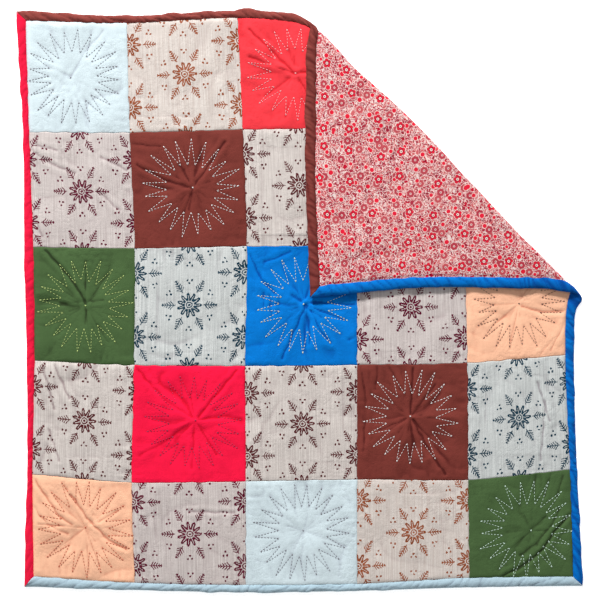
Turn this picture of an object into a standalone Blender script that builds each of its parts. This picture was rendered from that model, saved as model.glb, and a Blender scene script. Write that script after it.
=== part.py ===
"""A padded patchwork quilt of five squares by five, laid flat with one corner turned back.

Units are metres, +X runs across the quilt from its left edge, +Y from its foot to its head and +Z up.
Every piece is drawn on the cloth's own plane, as if the quilt were opened out flat, with a height above
its reverse face. One map then lays the seams as unevenly as they lie and turns the corner back over a
soft diagonal bend.
"""

import math

import bmesh
import bpy
import numpy as np
from mathutils import Vector
from mathutils.geometry import delaunay_2d_cdt

MM = 0.001

# --- Driving dimensions -----------------------------------------------------------------------------------

# Seams of the opened quilt: across it from the left binding's seam, and up it from the foot binding's seam.
COLUMN_SEAMS = np.array((0.0, 0.268, 0.562, 0.856, 1.150, 1.423))
ROW_SEAMS = np.array((0.0, 0.268, 0.573, 0.883, 1.190, 1.484))
SQUARES_EACH_WAY = 5

# How far each crossing of two seams lies from its even place, in mm: (to the right, towards the head).
# One row of crossings a line, from the foot up, each from left to right.
CROSSING_DRIFT = np.array((
    ((0, 13), (0, -4), (0, -10), (0, -7), (3, 9), (5, 12)),
    ((-3, 15), (-8, -6), (0, -3), (0, 2), (0, 1), (-3, 28)),
    ((2, 11), (-2, -1), (-2, -3), (0, 0), (-2, 5), (-16, 26)),
    ((-1, 1), (0, -2), (3, 3), (0, 4), (-8, 3), (-8, 12)),
    ((-12, -2), (-13, -3), (-8, 5), (-5, 7), (0, 0), (-6, 0)),
    ((-21, 0), (-21, -6), (-22, 7), (-10, -8), (-2, -9), (20, -23)),
)) * MM

# Where the bend pulls the cloth's edge in at the head and pushes it out at the right: the even place, the
# shift there in mm, and how far round it the shift fades.
BEND_END_SHIFTS = (
    {"place": (0.758, 1.500), "shift": (0, -15)},
    {"place": (1.440, 0.772), "shift": (14, 0)},
)
BEND_END_FADE = 48.0 * MM

# Visible width of each binding where the seams meet it, in mm, from its low end to its high end.
BINDING_WIDTHS = {
    "left": np.array((25, 14, 20, 24, 16, 25)) * MM,
    "right": np.array((25, 18, 23, 24, 23, 24)) * MM,
    "foot": np.array((28, 19, 19, 18, 25, 24)) * MM,
    "head": np.array((25, 19, 20, 22, 22, 22)) * MM,
}

# Heights above the reverse face.
BACKING_THICKNESS = 1.2 * MM
GAP = 0.3 * MM
CROWN_HEIGHT = 10.0 * MM
SEAM_HEIGHT = 5.5 * MM
EDGE_HEIGHT = 5.2 * MM
EDGE_LIFT = 1.6 * MM
FLAT_TOLERANCE = 0.001 * MM

# How the filling rises beside a seam, and where the backing lifts over the binding's reverse lip.
SEAM_SOFTNESS = 20.0 * MM
LIFT_START = 12.0 * MM
LIFT_END = 7.0 * MM

# The turned-back corner: two points on the line where the bend begins, and the bend's outer radius.
BEND_LINE = np.array(((0.7366, 1.4574), (1.4335, 0.7551)))
BEND_RADIUS = 11.5 * MM
BEND_STEPS = 12

# About where each side's seam crosses the bend line, along that side, and the distances from the bend at
# which that side has closer sections.
BEND_CROSSINGS = {"head": 0.75, "right": 0.78}
BEND_END_STEPS = np.array((16, 32, 50, 75, 105)) * MM

# The quilted star in each plain square: a ring of narrow rays round a tied centre.
STAR_RAYS = 20
STAR_INNER_RADIUS = 64.0 * MM
STAR_OUTER_RADIUS = 124.0 * MM
STITCH_DEPTH = 2.4 * MM
STITCH_SOFTNESS = 6.0 * MM
TIE_DEPTH = 4.5 * MM
TIE_SOFTNESS = 13.0 * MM

# Rings of points that round a star's rays and its tied centre: radius in mm, how many, and whether they
# start half a step round.
TIE_RING = {"radius": 15, "count": 8, "phase": 0.0}
STAR_RINGS = (
    {"radius": 42, "count": 10, "phase": 0.5},
    {"radius": 82, "count": STAR_RAYS, "phase": 0.0},
    {"radius": 107, "count": STAR_RAYS, "phase": 0.5},
)
TIE_SHARE_OF_STAR = 0.6  # the star's ring follows its tie this much of the way off the square's middle

# The plain squares whose face shows: column and row from the lower left, and how far the tie sits from the
# square's middle, in mm, to the right and towards the head.
PLAIN_SQUARES = (
    {"column": 0, "row": 0, "tie": (8, 6)},
    {"column": 2, "row": 0, "tie": (4, 5)},
    {"column": 4, "row": 0, "tie": (28, -13)},
    {"column": 1, "row": 1, "tie": (17, 11)},
    {"column": 3, "row": 1, "tie": (-7, 16)},
    {"column": 0, "row": 2, "tie": (3, 0)},
    {"column": 2, "row": 2, "tie": (4, 5)},
    {"column": 4, "row": 2, "tie": (7, -4)},
    {"column": 1, "row": 3, "tie": (10, 4)},
    {"column": 0, "row": 4, "tie": (-19, -1)},
    {"column": 2, "row": 4, "tie": (-4, 3)},
)

# The main creases of the padded face: depth in mm, and the points of each on the cloth's plane, in mm from
# the corner where the left and foot bindings' seams meet.
CREASES = (
    # lower left square, to its tie
    {"depth": 3.0, "points": ((5, 268), (69, 175), (101, 151))},
    # lower left square, across its foot
    {"depth": 3.5, "points": ((101, 228), (148, 162), (201, 109), (246, 85))},
    # lower right square, into the corner
    {"depth": 3.5, "points": ((1423, 183), (1389, 146), (1354, 95), (1314, 42), (1267, 16))},
    # head's third square, from its corner
    {"depth": 3.0, "points": ((570, 1460), (631, 1402), (686, 1349))},
    # head's third square, across it
    {"depth": 2.0, "points": ((694, 1344), (721, 1349))},
    # left's middle square, to its tie
    {"depth": 3.5, "points": ((32, 877), (85, 819), (122, 768), (138, 737))},
    # left's middle square, across its tie
    {"depth": 2.0, "points": ((74, 734), (186, 745))},
    # second square up the diagonal, to the left
    {"depth": 2.5, "points": ((273, 1102), (347, 1063), (416, 1041))},
    # second square up the diagonal, to the right
    {"depth": 2.5, "points": ((427, 1047), (506, 1163))},
    # lower red square, up to the left
    {"depth": 2.5, "points": ((273, 564), (350, 480), (421, 432))},
    # lower red square, up to the right
    {"depth": 2.5, "points": ((435, 435), (482, 493), (538, 559))},
    # lower red square, down
    {"depth": 2.0, "points": ((427, 419), (419, 299))},
    # lower brown square, up
    {"depth": 2.5, "points": ((996, 443), (1004, 564))},
    # lower brown square, down to the right
    {"depth": 2.5, "points": ((1002, 429), (1044, 352), (1089, 284))},
    # right's middle square, towards its edge
    {"depth": 3.0, "points": ((1291, 729), (1344, 713), (1402, 716))},
    # head's left square, up
    {"depth": 2.0, "points": ((101, 1338), (119, 1402), (135, 1463))},
    # left's printed square
    {"depth": 2.0, "points": ((26, 564), (56, 458))},
    # right's printed square
    {"depth": 2.0, "points": ((1333, 527), (1365, 427))},
)
CREASE_SOFTNESS = 8.0 * MM
CREASE_FLANK = 13.0 * MM
CREASE_STEP = 30.0 * MM

# A binding's section, from the seam outwards: how far across its width, and how high in mm. The loop runs
# over the roll, back under it to the tip of the reverse lip, and round the slot that holds the cloth's edge.
BINDING_SECTION = (
    {"across": 0.03, "height": 6.7},
    {"across": 0.12, "height": 8.6},
    {"across": 0.32, "height": 10.2},
    {"across": 0.58, "height": 10.2},
    {"across": 0.82, "height": 8.8},
    {"across": 0.97, "height": 6.2},
    {"across": 1.00, "height": 3.8},
    {"across": 0.95, "height": 1.5},
    {"across": 0.85, "height": 0.0},
    {"across": -0.19, "height": 0.0},
    {"across": -0.19, "height": 1.2},
    {"across": 0.80, "height": 1.2},
    {"across": 0.80, "height": 5.9},
    {"across": 0.03, "height": 5.9},
)
CLOTH_EDGE = 0.76       # the quilted layers end this far across the binding's width
MITRE_GAP = 0.25 * MM   # each binding stops this far short of the mitre line
MITRE_LEAN = 60.0 * MM  # the sections lean over to the mitre within this distance of a corner
BEND_LEAN = 80.0 * MM   # and over to the bend's diagonal within this distance of it

# Spacing of the points that carry the shape.
EDGE_STEP = 52.0 * MM
SEAM_STEP = 50.0 * MM
BEND_STEP_ALONG = 26.0 * MM
SQUARE_POINTS = (0.08, 0.27, 0.5, 0.73, 0.92)  # shares of a square's width and height
POINT_CLEARANCE = 11.0 * MM
BEND_CLEARANCE = 9.0 * MM
MERGE_DISTANCE = 0.1 * MM
SEAM_TOLERANCE = 0.2 * MM  # a point this near a seam counts as on it
PLACE_ROUNDS = 16          # rounds that find a point's even place from where it lies
CROSSING_ROUNDS = 40       # rounds that find where a side crosses the bend
SHARP_ANGLE = 50.0         # degrees between two facets, past which their edge looks sharp

# The squares' colours, a row of squares a line from the foot up, and the other pieces' colours.
SQUARE_COLOURS = (
    ("F8C5A5", "BBADA9", "CBDEE5", "CEC3B8", "4A603A"),
    ("C7BCB4", "FB2741", "C8C0BA", "743732", "B8BDBC"),
    ("53724B", "C8CCCC", "0277D2", "CBBFBC", "FCD0B0"),
    ("D1C5C2", "803D36", "D5CEC8", "DFEBEE", "D1C5C2"),
    ("DFEBEE", "E0D7CF", "FC464B", "C8CCCC", "53724B"),
)
BACKING_COLOUR = "D58E8F"
BINDING_COLOURS = {"left": "FD2944", "head": "945046", "right": "0460C2", "foot": "AAC1CB"}
CLOTH_ROUGHNESS = 0.85


# --- The cloth's plane and how it lies --------------------------------------------------------------------

def knot_weights(knots, places):
    """How much the value at each knot counts at each place, on a smooth curve through all the knots."""
    count = len(knots)
    slopes = np.zeros((count, count))
    for i in range(count):
        low, high = max(i - 1, 0), min(i + 1, count - 1)
        slopes[i, high] += 1.0 / (knots[high] - knots[low])
        slopes[i, low] -= 1.0 / (knots[high] - knots[low])
    places = np.clip(places, knots[0], knots[-1])
    left = np.clip(np.searchsorted(knots, places, side="right") - 1, 0, count - 2)
    width = (knots[left + 1] - knots[left])[:, None]
    x = (places - knots[left])[:, None] / width
    unit = np.eye(count)
    return (
        (2 * x**3 - 3 * x**2 + 1) * unit[left]
        + (3 * x**2 - 2 * x**3) * unit[left + 1]
        + (x**3 - 2 * x**2 + x) * width * slopes[left]
        + (x**3 - x**2) * width * slopes[left + 1]
    )


def laid(even):
    """Even (across, up) places on the quilt, moved to where its uneven seams take them."""
    across = knot_weights(COLUMN_SEAMS, even[:, 0])
    up = knot_weights(ROW_SEAMS, even[:, 1])
    plane = even + np.einsum("ni,nj,ijk->nk", up, across, CROSSING_DRIFT)
    for end in BEND_END_SHIFTS:
        away = np.linalg.norm(even - np.array(end["place"]), axis=1) / BEND_END_FADE
        plane += np.exp(-away**2)[:, None] * np.array(end["shift"]) * MM
    return plane


def evened(plane):
    """The even place of each point of the cloth's plane: the reverse of laid."""
    even = plane.copy()
    for _ in range(PLACE_ROUNDS):
        even += plane - laid(even)
    return even


def bend_axes():
    """The bend line's first point, the unit vector along it, and the one towards the turned corner."""
    start, end = BEND_LINE
    along = (end - start) / np.linalg.norm(end - start)
    return start, along, np.array((-along[1], along[0]))


def past_bend(plane):
    """How far each point of the cloth's plane lies past the line where the bend begins."""
    start, _, outward = bend_axes()
    return (plane - start) @ outward


def folded(plane, height):
    """Points of the cloth's plane, with their heights above the reverse face, laid down and turned back."""
    start, along, outward = bend_axes()
    past = past_bend(plane)
    turn = np.clip(past / BEND_RADIUS, 0.0, math.pi)
    beyond = np.maximum(past - math.pi * BEND_RADIUS, 0.0)
    reach = np.minimum(past, 0.0) + (BEND_RADIUS - height) * np.sin(turn) - beyond
    level = BEND_RADIUS * (1.0 - np.cos(turn)) + height * np.cos(turn)
    run = (plane - start) @ along
    flat = start + run[:, None] * along + reach[:, None] * outward
    return np.column_stack((flat, level))


def evenly(start, end, step):
    """Places from start to end, both included, about a step apart."""
    return np.linspace(start, end, max(1, int(round(abs(end - start) / step))) + 1)


def bend_rows():
    """Distances past the bend line at which the cloth is creased into facets round the bend."""
    return np.linspace(0.0, math.pi * BEND_RADIUS, BEND_STEPS + 1)


# --- The four sides ---------------------------------------------------------------------------------------

def side_knots(side):
    return ROW_SEAMS if side in ("left", "right") else COLUMN_SEAMS


def side_width(side, along):
    """The binding's width at places along one side."""
    along = np.atleast_1d(along)
    return knot_weights(side_knots(side), along) @ BINDING_WIDTHS[side]


def neighbour_width(side, high_end):
    """The width, at the corner they share, of the binding that meets this side's low or high end."""
    if side in ("left", "right"):
        widths = BINDING_WIDTHS["head" if high_end else "foot"]
        return widths[0] if side == "left" else widths[-1]
    widths = BINDING_WIDTHS["right" if high_end else "left"]
    return widths[0] if side == "foot" else widths[-1]


def on_side(side, along, outward):
    """The even (across, up) places at distances along one side and outward from its seam."""
    if side == "left":
        return np.column_stack((-outward, along))
    if side == "right":
        return np.column_stack((COLUMN_SEAMS[-1] + outward, along))
    if side == "foot":
        return np.column_stack((along, -outward))
    return np.column_stack((along, ROW_SEAMS[-1] + outward))


def side_crossing(side, outward, row):
    """Where lines outward from one side's seam by these distances cross one row of the bend."""
    along = np.full(len(outward), BEND_CROSSINGS[side])
    for _ in range(CROSSING_ROUNDS):
        along = along - (past_bend(laid(on_side(side, along, outward))) - row)
    return along


def seam_crossing(side, row):
    """Where one side's own seam crosses one row of the bend."""
    return side_crossing(side, np.zeros(1), row)[0]


def side_stations(side):
    """Stations along one side from its low end to its high end: the place, and the bend row or None."""
    knots = side_knots(side)
    if side not in BEND_CROSSINGS:
        return [(place, None) for place in evenly(knots[0], knots[-1], EDGE_STEP)]
    rows = [(seam_crossing(side, row), row) for row in bend_rows()]
    below = [rows[0][0] - step for step in BEND_END_STEPS]
    above = [rows[-1][0] + step for step in BEND_END_STEPS]
    places = [*evenly(knots[0], below[-1], EDGE_STEP), *below[:-1], *above[:-1],
              *evenly(above[-1], knots[-1], EDGE_STEP)]
    return sorted([(place, None) for place in places] + rows, key=lambda station: station[0])


def section_along(side, place, row, share):
    """Where along the side each point of one section lies, for its share of the binding's width."""
    width = side_width(side, place)[0]
    if row is not None:
        return side_crossing(side, share * width, row)
    knots = side_knots(side)
    low_lean = max(0.0, 1.0 - (place - knots[0]) / MITRE_LEAN)
    high_lean = max(0.0, 1.0 - (knots[-1] - place) / MITRE_LEAN)
    along = place - low_lean * share * neighbour_width(side, False)
    along = along + high_lean * share * neighbour_width(side, True)
    if side in BEND_CROSSINGS:
        low, high = (seam_crossing(side, row) for row in bend_rows()[[0, -1]])
        distance = max(low - place, place - high)
        along = along - max(0.0, 1.0 - distance / BEND_LEAN) * share * width
    return along


def side_line(side, share):
    """Plane points along one side, at one share of its binding's width, from its low to its high end."""
    points = []
    for place, row in side_stations(side):
        shares = np.array((share,))
        along = section_along(side, place, row, shares)
        points.append(laid(on_side(side, along, shares * side_width(side, place)))[0])
    return np.array(points)


def inset_line(side, inset):
    """Plane points along one side, inside its seam by a distance, from its low to its high end."""
    knots = side_knots(side)
    outward = np.array((-inset,))
    points = []
    for place, row in side_stations(side):
        along = np.array((place,)) if row is None else side_crossing(side, outward, row)
        along = np.clip(along, knots[0] + inset, knots[-1] - inset)
        points.append(laid(on_side(side, along, outward))[0])
    return np.array(points)


def loop_of(line, amount):
    """The anticlockwise loop round the cloth that joins one kind of line along its four sides."""
    return np.vstack((
        line("foot", amount)[:-1],
        line("right", amount)[:-1],
        line("head", amount)[:0:-1],
        line("left", amount)[:0:-1],
    ))


# --- Heights of the quilted layers ------------------------------------------------------------------------

def outside_seam(even):
    """How far each place lies outside the bindings' seams; negative inside them."""
    return np.max((
        -even[:, 0],
        even[:, 0] - COLUMN_SEAMS[-1],
        -even[:, 1],
        even[:, 1] - ROW_SEAMS[-1],
    ), axis=0)


def backing_underside(even):
    """Flat, and lifted over the bindings' reverse lips at the edges."""
    outside = outside_seam(even)
    lift = EDGE_LIFT * np.clip((outside + LIFT_START) / (LIFT_START - LIFT_END), 0.0, 1.0)
    return np.where(lift < FLAT_TOLERANCE, 0.0, lift)


def backing_face(even):
    return backing_underside(even) + BACKING_THICKNESS


def filling_underside(even):
    return backing_face(even) + GAP


def nearest_seam(places, seams):
    return np.min(np.abs(places[:, None] - seams[None, :]), axis=1)


def distance_to_path(points, path):
    """The distance from each point to a path of straight runs."""
    nearest = np.full(len(points), np.inf)
    for start, end in zip(path, path[1:]):
        step = end - start
        share = np.clip((points - start) @ step / (step @ step), 0.0, 1.0)
        gap = np.linalg.norm(points - start - share[:, None] * step, axis=1)
        nearest = np.minimum(nearest, gap)
    return nearest


def square_middle(column, row):
    """The even place of a square's middle."""
    return np.array((
        (COLUMN_SEAMS[column] + COLUMN_SEAMS[column + 1]) / 2,
        (ROW_SEAMS[row] + ROW_SEAMS[row + 1]) / 2,
    ))


def star_centre(square):
    shift = TIE_SHARE_OF_STAR * np.array(square["tie"]) * MM
    return square_middle(square["column"], square["row"]) + shift


def star_tie(square):
    return square_middle(square["column"], square["row"]) + np.array(square["tie"]) * MM


def around(centre, radius, count, phase=0.0):
    """Even places on a circle."""
    angles = (np.arange(count) + phase) * 2 * math.pi / count
    return centre + radius * np.column_stack((np.cos(angles), np.sin(angles)))


def star_loop(square):
    """The stitched line of one star: out to each ray's tip and back in between the rays."""
    centre = star_centre(square)
    tips = around(centre, STAR_OUTER_RADIUS, STAR_RAYS)
    notches = around(centre, STAR_INNER_RADIUS, STAR_RAYS, 0.5)
    loop = np.stack((tips, notches), axis=1).reshape(-1, 2)
    return np.vstack((loop, loop[:1]))


def crease_path(crease):
    """A crease's points on the cloth's plane, about a step apart."""
    corners = np.array(crease["points"]) * MM
    path = [corners[:1]]
    for start, end in zip(corners, corners[1:]):
        count = max(1, int(round(np.linalg.norm(end - start) / CREASE_STEP)))
        path.append(start + (np.arange(count) + 1)[:, None] / count * (end - start))
    return np.vstack(path)


def quilted_face(even):
    """The padded face: crowned between the seams, drawn in along stars and ties, and creased."""
    beside_column = 1.0 - np.exp(-nearest_seam(even[:, 0], COLUMN_SEAMS) / SEAM_SOFTNESS)
    beside_row = 1.0 - np.exp(-nearest_seam(even[:, 1], ROW_SEAMS) / SEAM_SOFTNESS)
    height = SEAM_HEIGHT + (CROWN_HEIGHT - SEAM_HEIGHT) * beside_column * beside_row
    for square in PLAIN_SQUARES:
        stitch = distance_to_path(even, star_loop(square)) / STITCH_SOFTNESS
        tie = np.linalg.norm(even - star_tie(square), axis=1) / TIE_SOFTNESS
        height = height - STITCH_DEPTH * np.exp(-stitch**2) - TIE_DEPTH * np.exp(-tie**2)
    for crease in CREASES:
        away = distance_to_path(laid(even), crease_path(crease)) / CREASE_SOFTNESS
        height = height - crease["depth"] * MM * np.exp(-away**2)
    height = np.maximum(height, EDGE_HEIGHT)
    return np.where(outside_seam(even) > SEAM_TOLERANCE, EDGE_HEIGHT, height)


# --- Triangulation in the cloth's plane -------------------------------------------------------------------

class Plan:
    """Points and lines on the cloth's plane, which become triangles inside the outline."""

    def __init__(self, outline):
        self.points = [tuple(point) for point in outline]
        self.edges = []
        self.outline = list(range(len(outline)))

    def add_line(self, points, closed=False):
        first = len(self.points)
        self.points.extend(tuple(point) for point in points)
        last = len(self.points) - 1
        self.edges.extend((i, i + 1) for i in range(first, last))
        if closed:
            self.edges.append((last, first))

    def add_loose(self, points):
        """Adds the points that keep clear of every point already there."""
        for point in points:
            gaps = np.linalg.norm(np.array(self.points) - point, axis=1)
            if gaps.min() > POINT_CLEARANCE:
                self.points.append(tuple(point))

    def triangles(self):
        found = delaunay_2d_cdt([Vector(p) for p in self.points], self.edges, [self.outline], 1,
                                MERGE_DISTANCE)
        return np.array([tuple(vertex) for vertex in found[0]]), [tuple(face) for face in found[2]]


def clear_of_bend(plane):
    """The points that lie well before the bend or well past it."""
    past = past_bend(plane)
    return plane[(past < -BEND_CLEARANCE) | (past > math.pi * BEND_RADIUS + BEND_CLEARANCE)]


def add_bend_rows(plan, share, step):
    """Lines across the cloth where it turns, each from one side's edge to the other's."""
    for row in bend_rows():
        ends = []
        for side in BEND_CROSSINGS:
            outward = share * side_width(side, seam_crossing(side, row))
            ends.append(laid(on_side(side, side_crossing(side, outward, row), outward))[0])
        count = max(2, int(np.linalg.norm(ends[1] - ends[0]) / step)) if step else 2
        shares_along = np.linspace(0.0, 1.0, count)[:, None]
        plan.add_line(ends[0] + shares_along * (ends[1] - ends[0]))


def add_seams(plan):
    """The seams that join the squares to the bindings, and those between the squares."""
    plan.add_line(loop_of(side_line, 0.0), closed=True)
    for seams, others, flip in ((COLUMN_SEAMS, ROW_SEAMS, False), (ROW_SEAMS, COLUMN_SEAMS, True)):
        for seam in seams[1:-1]:
            runs = [evenly(a, b, SEAM_STEP)[:-1] for a, b in zip(others, others[1:])]
            along = np.append(np.concatenate(runs), others[-1])
            even = np.column_stack((np.full(len(along), seam), along))
            plan.add_line(laid(even[:, ::-1] if flip else even))


def add_star(plan, square):
    """The stitched loop of one star, with the points that round its rays and its tied centre."""
    centre, tie = star_centre(square), star_tie(square)
    plan.add_line(laid(star_loop(square)[:-1]), closed=True)
    rings = [around(tie, TIE_RING["radius"] * MM, TIE_RING["count"])]
    rings += [around(centre, ring["radius"] * MM, ring["count"], ring["phase"]) for ring in STAR_RINGS]
    plan.add_loose(laid(np.vstack([tie, *rings])))


def add_crease(plan, crease):
    """One crease's line, with loose points along both its flanks."""
    path = crease_path(crease)
    plan.add_line(path)
    for start, end in zip(path, path[1:]):
        step = (end - start) / np.linalg.norm(end - start)
        flank = CREASE_FLANK * np.array((-step[1], step[0]))
        plan.add_loose(np.array(((start + end) / 2 + flank, (start + end) / 2 - flank)))


def add_squares(plan):
    """Points just inside each square's seams and over its middle."""
    for column in range(SQUARES_EACH_WAY):
        for row in range(SQUARES_EACH_WAY):
            low = np.array((COLUMN_SEAMS[column], ROW_SEAMS[row]))
            size = np.array((COLUMN_SEAMS[column + 1], ROW_SEAMS[row + 1])) - low
            even = np.array([low + size * (a, b) for a in SQUARE_POINTS for b in SQUARE_POINTS])
            plan.add_loose(clear_of_bend(laid(even)))


def face_plan(outline):
    plan = Plan(outline)
    add_bend_rows(plan, CLOTH_EDGE, BEND_STEP_ALONG)
    add_seams(plan)
    for crease in CREASES:
        add_crease(plan, crease)
    for square in PLAIN_SQUARES:
        add_star(plan, square)
    add_squares(plan)
    return plan


def plain_plan(outline):
    """The few lines that a flat underside needs: the bend's rows and the lift at the edges."""
    plan = Plan(outline)
    add_bend_rows(plan, CLOTH_EDGE, None)
    for inset in (LIFT_END, LIFT_START):
        plan.add_line(loop_of(inset_line, inset), closed=True)
    return plan


# --- Solids -----------------------------------------------------------------------------------------------

def sheet_solid(face, under, face_height, under_height, outline):
    """A closed solid between two triangulated faces that share one outline: its points and its faces."""
    points, faces, rims = [], [], []
    for (plane, triangles), height, flip in ((face, face_height, False), (under, under_height, True)):
        first = len(points)
        points.extend(folded(plane, height(evened(plane))))
        faces.extend(tuple(first + i for i in (tri[::-1] if flip else tri)) for tri in triangles)
        nearest = [int(np.argmin(np.linalg.norm(plane - corner, axis=1))) for corner in outline]
        rims.append([first + i for i in nearest])
    upper, lower = rims
    for i in range(len(outline)):
        j = (i + 1) % len(outline)
        faces.append((lower[i], lower[j], upper[j]))
        faces.append((lower[i], upper[j], upper[i]))
    return np.array(points), faces


def binding_solid(side):
    """One binding strip, rolled round the quilt's edge and mitred at both ends."""
    share = np.array([point["across"] for point in BINDING_SECTION])
    height = np.array([point["height"] for point in BINDING_SECTION]) * MM
    stations = side_stations(side)
    points = []
    for index, (place, row) in enumerate(stations):
        along = section_along(side, place, row, share)
        if index == 0:
            along = along + MITRE_GAP
        if index == len(stations) - 1:
            along = along - MITRE_GAP
        even = on_side(side, along, share * side_width(side, place))
        points.extend(folded(laid(even), height))
    ring = len(share)
    faces = []
    for station in range(len(stations) - 1):
        for i in range(ring):
            j = (i + 1) % ring
            a, b = station * ring + i, station * ring + j
            faces.append((a, b, b + ring))
            faces.append((a, b + ring, a + ring))
    faces.append(tuple(range(ring))[::-1])
    faces.append(tuple(range(len(points) - ring, len(points))))
    return np.array(points), faces


def as_linear(colour):
    """An sRGB hex colour as the linear RGBA that a shader takes."""
    channels = [int(colour[i:i + 2], 16) / 255 for i in (0, 2, 4)]
    return [c / 12.92 if c <= 0.04045 else ((c + 0.055) / 1.055) ** 2.4 for c in channels] + [1.0]


def cotton(name, colour):
    """Plain woven cotton: matt, with no metal in it."""
    material = bpy.data.materials.new(name)
    material.use_nodes = True
    shader = material.node_tree.nodes["Principled BSDF"]
    shader.inputs["Base Color"].default_value = as_linear(colour)
    shader.inputs["Roughness"].default_value = CLOTH_ROUGHNESS
    shader.inputs["Metallic"].default_value = 0.0
    return material


def add_object(name, points, faces, materials):
    """A named object from points and faces, its faces turned outwards."""
    mesh = bpy.data.meshes.new(name)
    mesh.from_pydata([tuple(point) for point in points], [], faces)
    shape = bmesh.new()
    shape.from_mesh(mesh)
    bmesh.ops.triangulate(shape, faces=[face for face in shape.faces if len(face.verts) > 3])
    bmesh.ops.recalc_face_normals(shape, faces=shape.faces)
    shape.to_mesh(mesh)
    shape.free()
    for material in materials:
        mesh.materials.append(material)
    mesh.shade_smooth()
    mesh.set_sharp_from_angle(angle=math.radians(SHARP_ANGLE))
    item = bpy.data.objects.new(name, mesh)
    bpy.context.scene.collection.objects.link(item)
    return item


def colour_squares(item, triangles, plane):
    """Gives each triangle of the quilted face the colour of the square that it lies in."""
    middles = evened(plane[np.array(triangles)].mean(axis=1))
    last = SQUARES_EACH_WAY - 1
    columns = np.clip(np.searchsorted(COLUMN_SEAMS, middles[:, 0]) - 1, 0, last)
    rows = np.clip(np.searchsorted(ROW_SEAMS, middles[:, 1]) - 1, 0, last)
    for polygon, column, row in zip(item.data.polygons, columns, rows):
        polygon.material_index = int(row * SQUARES_EACH_WAY + column)


def build():
    """Makes every piece, then stands the quilt on the floor with its box centred on the origin."""
    outline = loop_of(side_line, CLOTH_EDGE)
    face = face_plan(outline).triangles()
    plain = plain_plan(outline).triangles()
    pieces = {
        "quilt_top": sheet_solid(face, plain, quilted_face, filling_underside, outline),
        "backing": sheet_solid(plain, plain, backing_face, backing_underside, outline),
    }
    for side in BINDING_WIDTHS:
        pieces["binding_" + side] = binding_solid(side)
    every = np.vstack([points for points, _ in pieces.values()])
    low, high = every.min(axis=0), every.max(axis=0)
    origin = np.array(((low[0] + high[0]) / 2, (low[1] + high[1]) / 2, low[2]))
    squares = [cotton("square_cotton", colour) for row in SQUARE_COLOURS for colour in row]
    finishes = {"quilt_top": squares, "backing": [cotton("backing_print", BACKING_COLOUR)]}
    for side, colour in BINDING_COLOURS.items():
        finishes["binding_" + side] = [cotton("binding_%s_cotton" % side, colour)]
    for name, (points, faces) in pieces.items():
        item = add_object(name, points - origin, faces, finishes[name])
        if name == "quilt_top":
            colour_squares(item, face[1], face[0])


for leftover in list(bpy.data.objects):
    bpy.data.objects.remove(leftover, do_unlink=True)
build()
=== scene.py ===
"""The looks of a padded patchwork quilt that lies flat with one corner turned back.

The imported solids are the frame. Every soft solid is replaced by a finer piece of the same form: the
squares of the patchwork, the printed backing, the four rolled bindings, and the threads that quilt them.
"""

import math

import bpy
import numpy as np
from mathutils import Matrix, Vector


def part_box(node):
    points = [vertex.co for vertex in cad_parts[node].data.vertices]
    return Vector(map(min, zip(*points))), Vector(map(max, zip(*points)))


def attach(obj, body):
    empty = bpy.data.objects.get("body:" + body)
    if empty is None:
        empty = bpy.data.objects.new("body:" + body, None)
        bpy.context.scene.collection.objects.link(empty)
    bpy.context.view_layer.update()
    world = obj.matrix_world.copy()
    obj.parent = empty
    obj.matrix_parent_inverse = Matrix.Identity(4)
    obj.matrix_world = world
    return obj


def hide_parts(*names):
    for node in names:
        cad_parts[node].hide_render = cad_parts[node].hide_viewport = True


bl_info = {
    "name": "Patchwork quilt",
    "version": (1, 0, 0),
    "blender": (4, 5, 0),
    "location": "3D View > Sidebar > Quilt",
    "description": "Dresses the frame of a patchwork quilt with its squares, backing, bindings and threads",
    "category": "Object",
}

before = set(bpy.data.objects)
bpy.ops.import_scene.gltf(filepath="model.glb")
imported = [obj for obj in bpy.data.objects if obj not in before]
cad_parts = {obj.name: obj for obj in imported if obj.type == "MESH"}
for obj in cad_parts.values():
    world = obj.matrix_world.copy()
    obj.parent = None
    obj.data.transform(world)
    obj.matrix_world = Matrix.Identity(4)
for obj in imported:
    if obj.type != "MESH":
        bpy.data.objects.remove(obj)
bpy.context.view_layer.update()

MM = 0.001

# --- The quilt's plan, as the frame is built --------------------------------------------------------------

COLUMN_SEAMS = np.array((0.0, 0.268, 0.562, 0.856, 1.150, 1.423))
ROW_SEAMS = np.array((0.0, 0.268, 0.573, 0.883, 1.190, 1.484))

# How far each crossing of two seams lies from its even place, in mm: (to the right, towards the head).
CROSSING_DRIFT = np.array((
    ((0, 13), (0, -4), (0, -10), (0, -7), (3, 9), (5, 12)),
    ((-3, 15), (-8, -6), (0, -3), (0, 2), (0, 1), (-3, 28)),
    ((2, 11), (-2, -1), (-2, -3), (0, 0), (-2, 5), (-16, 26)),
    ((-1, 1), (0, -2), (3, 3), (0, 4), (-8, 3), (-8, 12)),
    ((-12, -2), (-13, -3), (-8, 5), (-5, 7), (0, 0), (-6, 0)),
    ((-21, 0), (-21, -6), (-22, 7), (-10, -8), (-2, -9), (20, -23)),
)) * MM

# Where the bend pulls the cloth's edge in at the head and pushes it out at the right: the even place of each
# and how far it goes, in mm.
BEND_END_SHIFTS = (
    {"place": (0.758, 1.500), "shift": (0, -15)},
    {"place": (1.440, 0.772), "shift": (14, 0)},
)
BEND_END_FADE = 48.0 * MM

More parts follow.
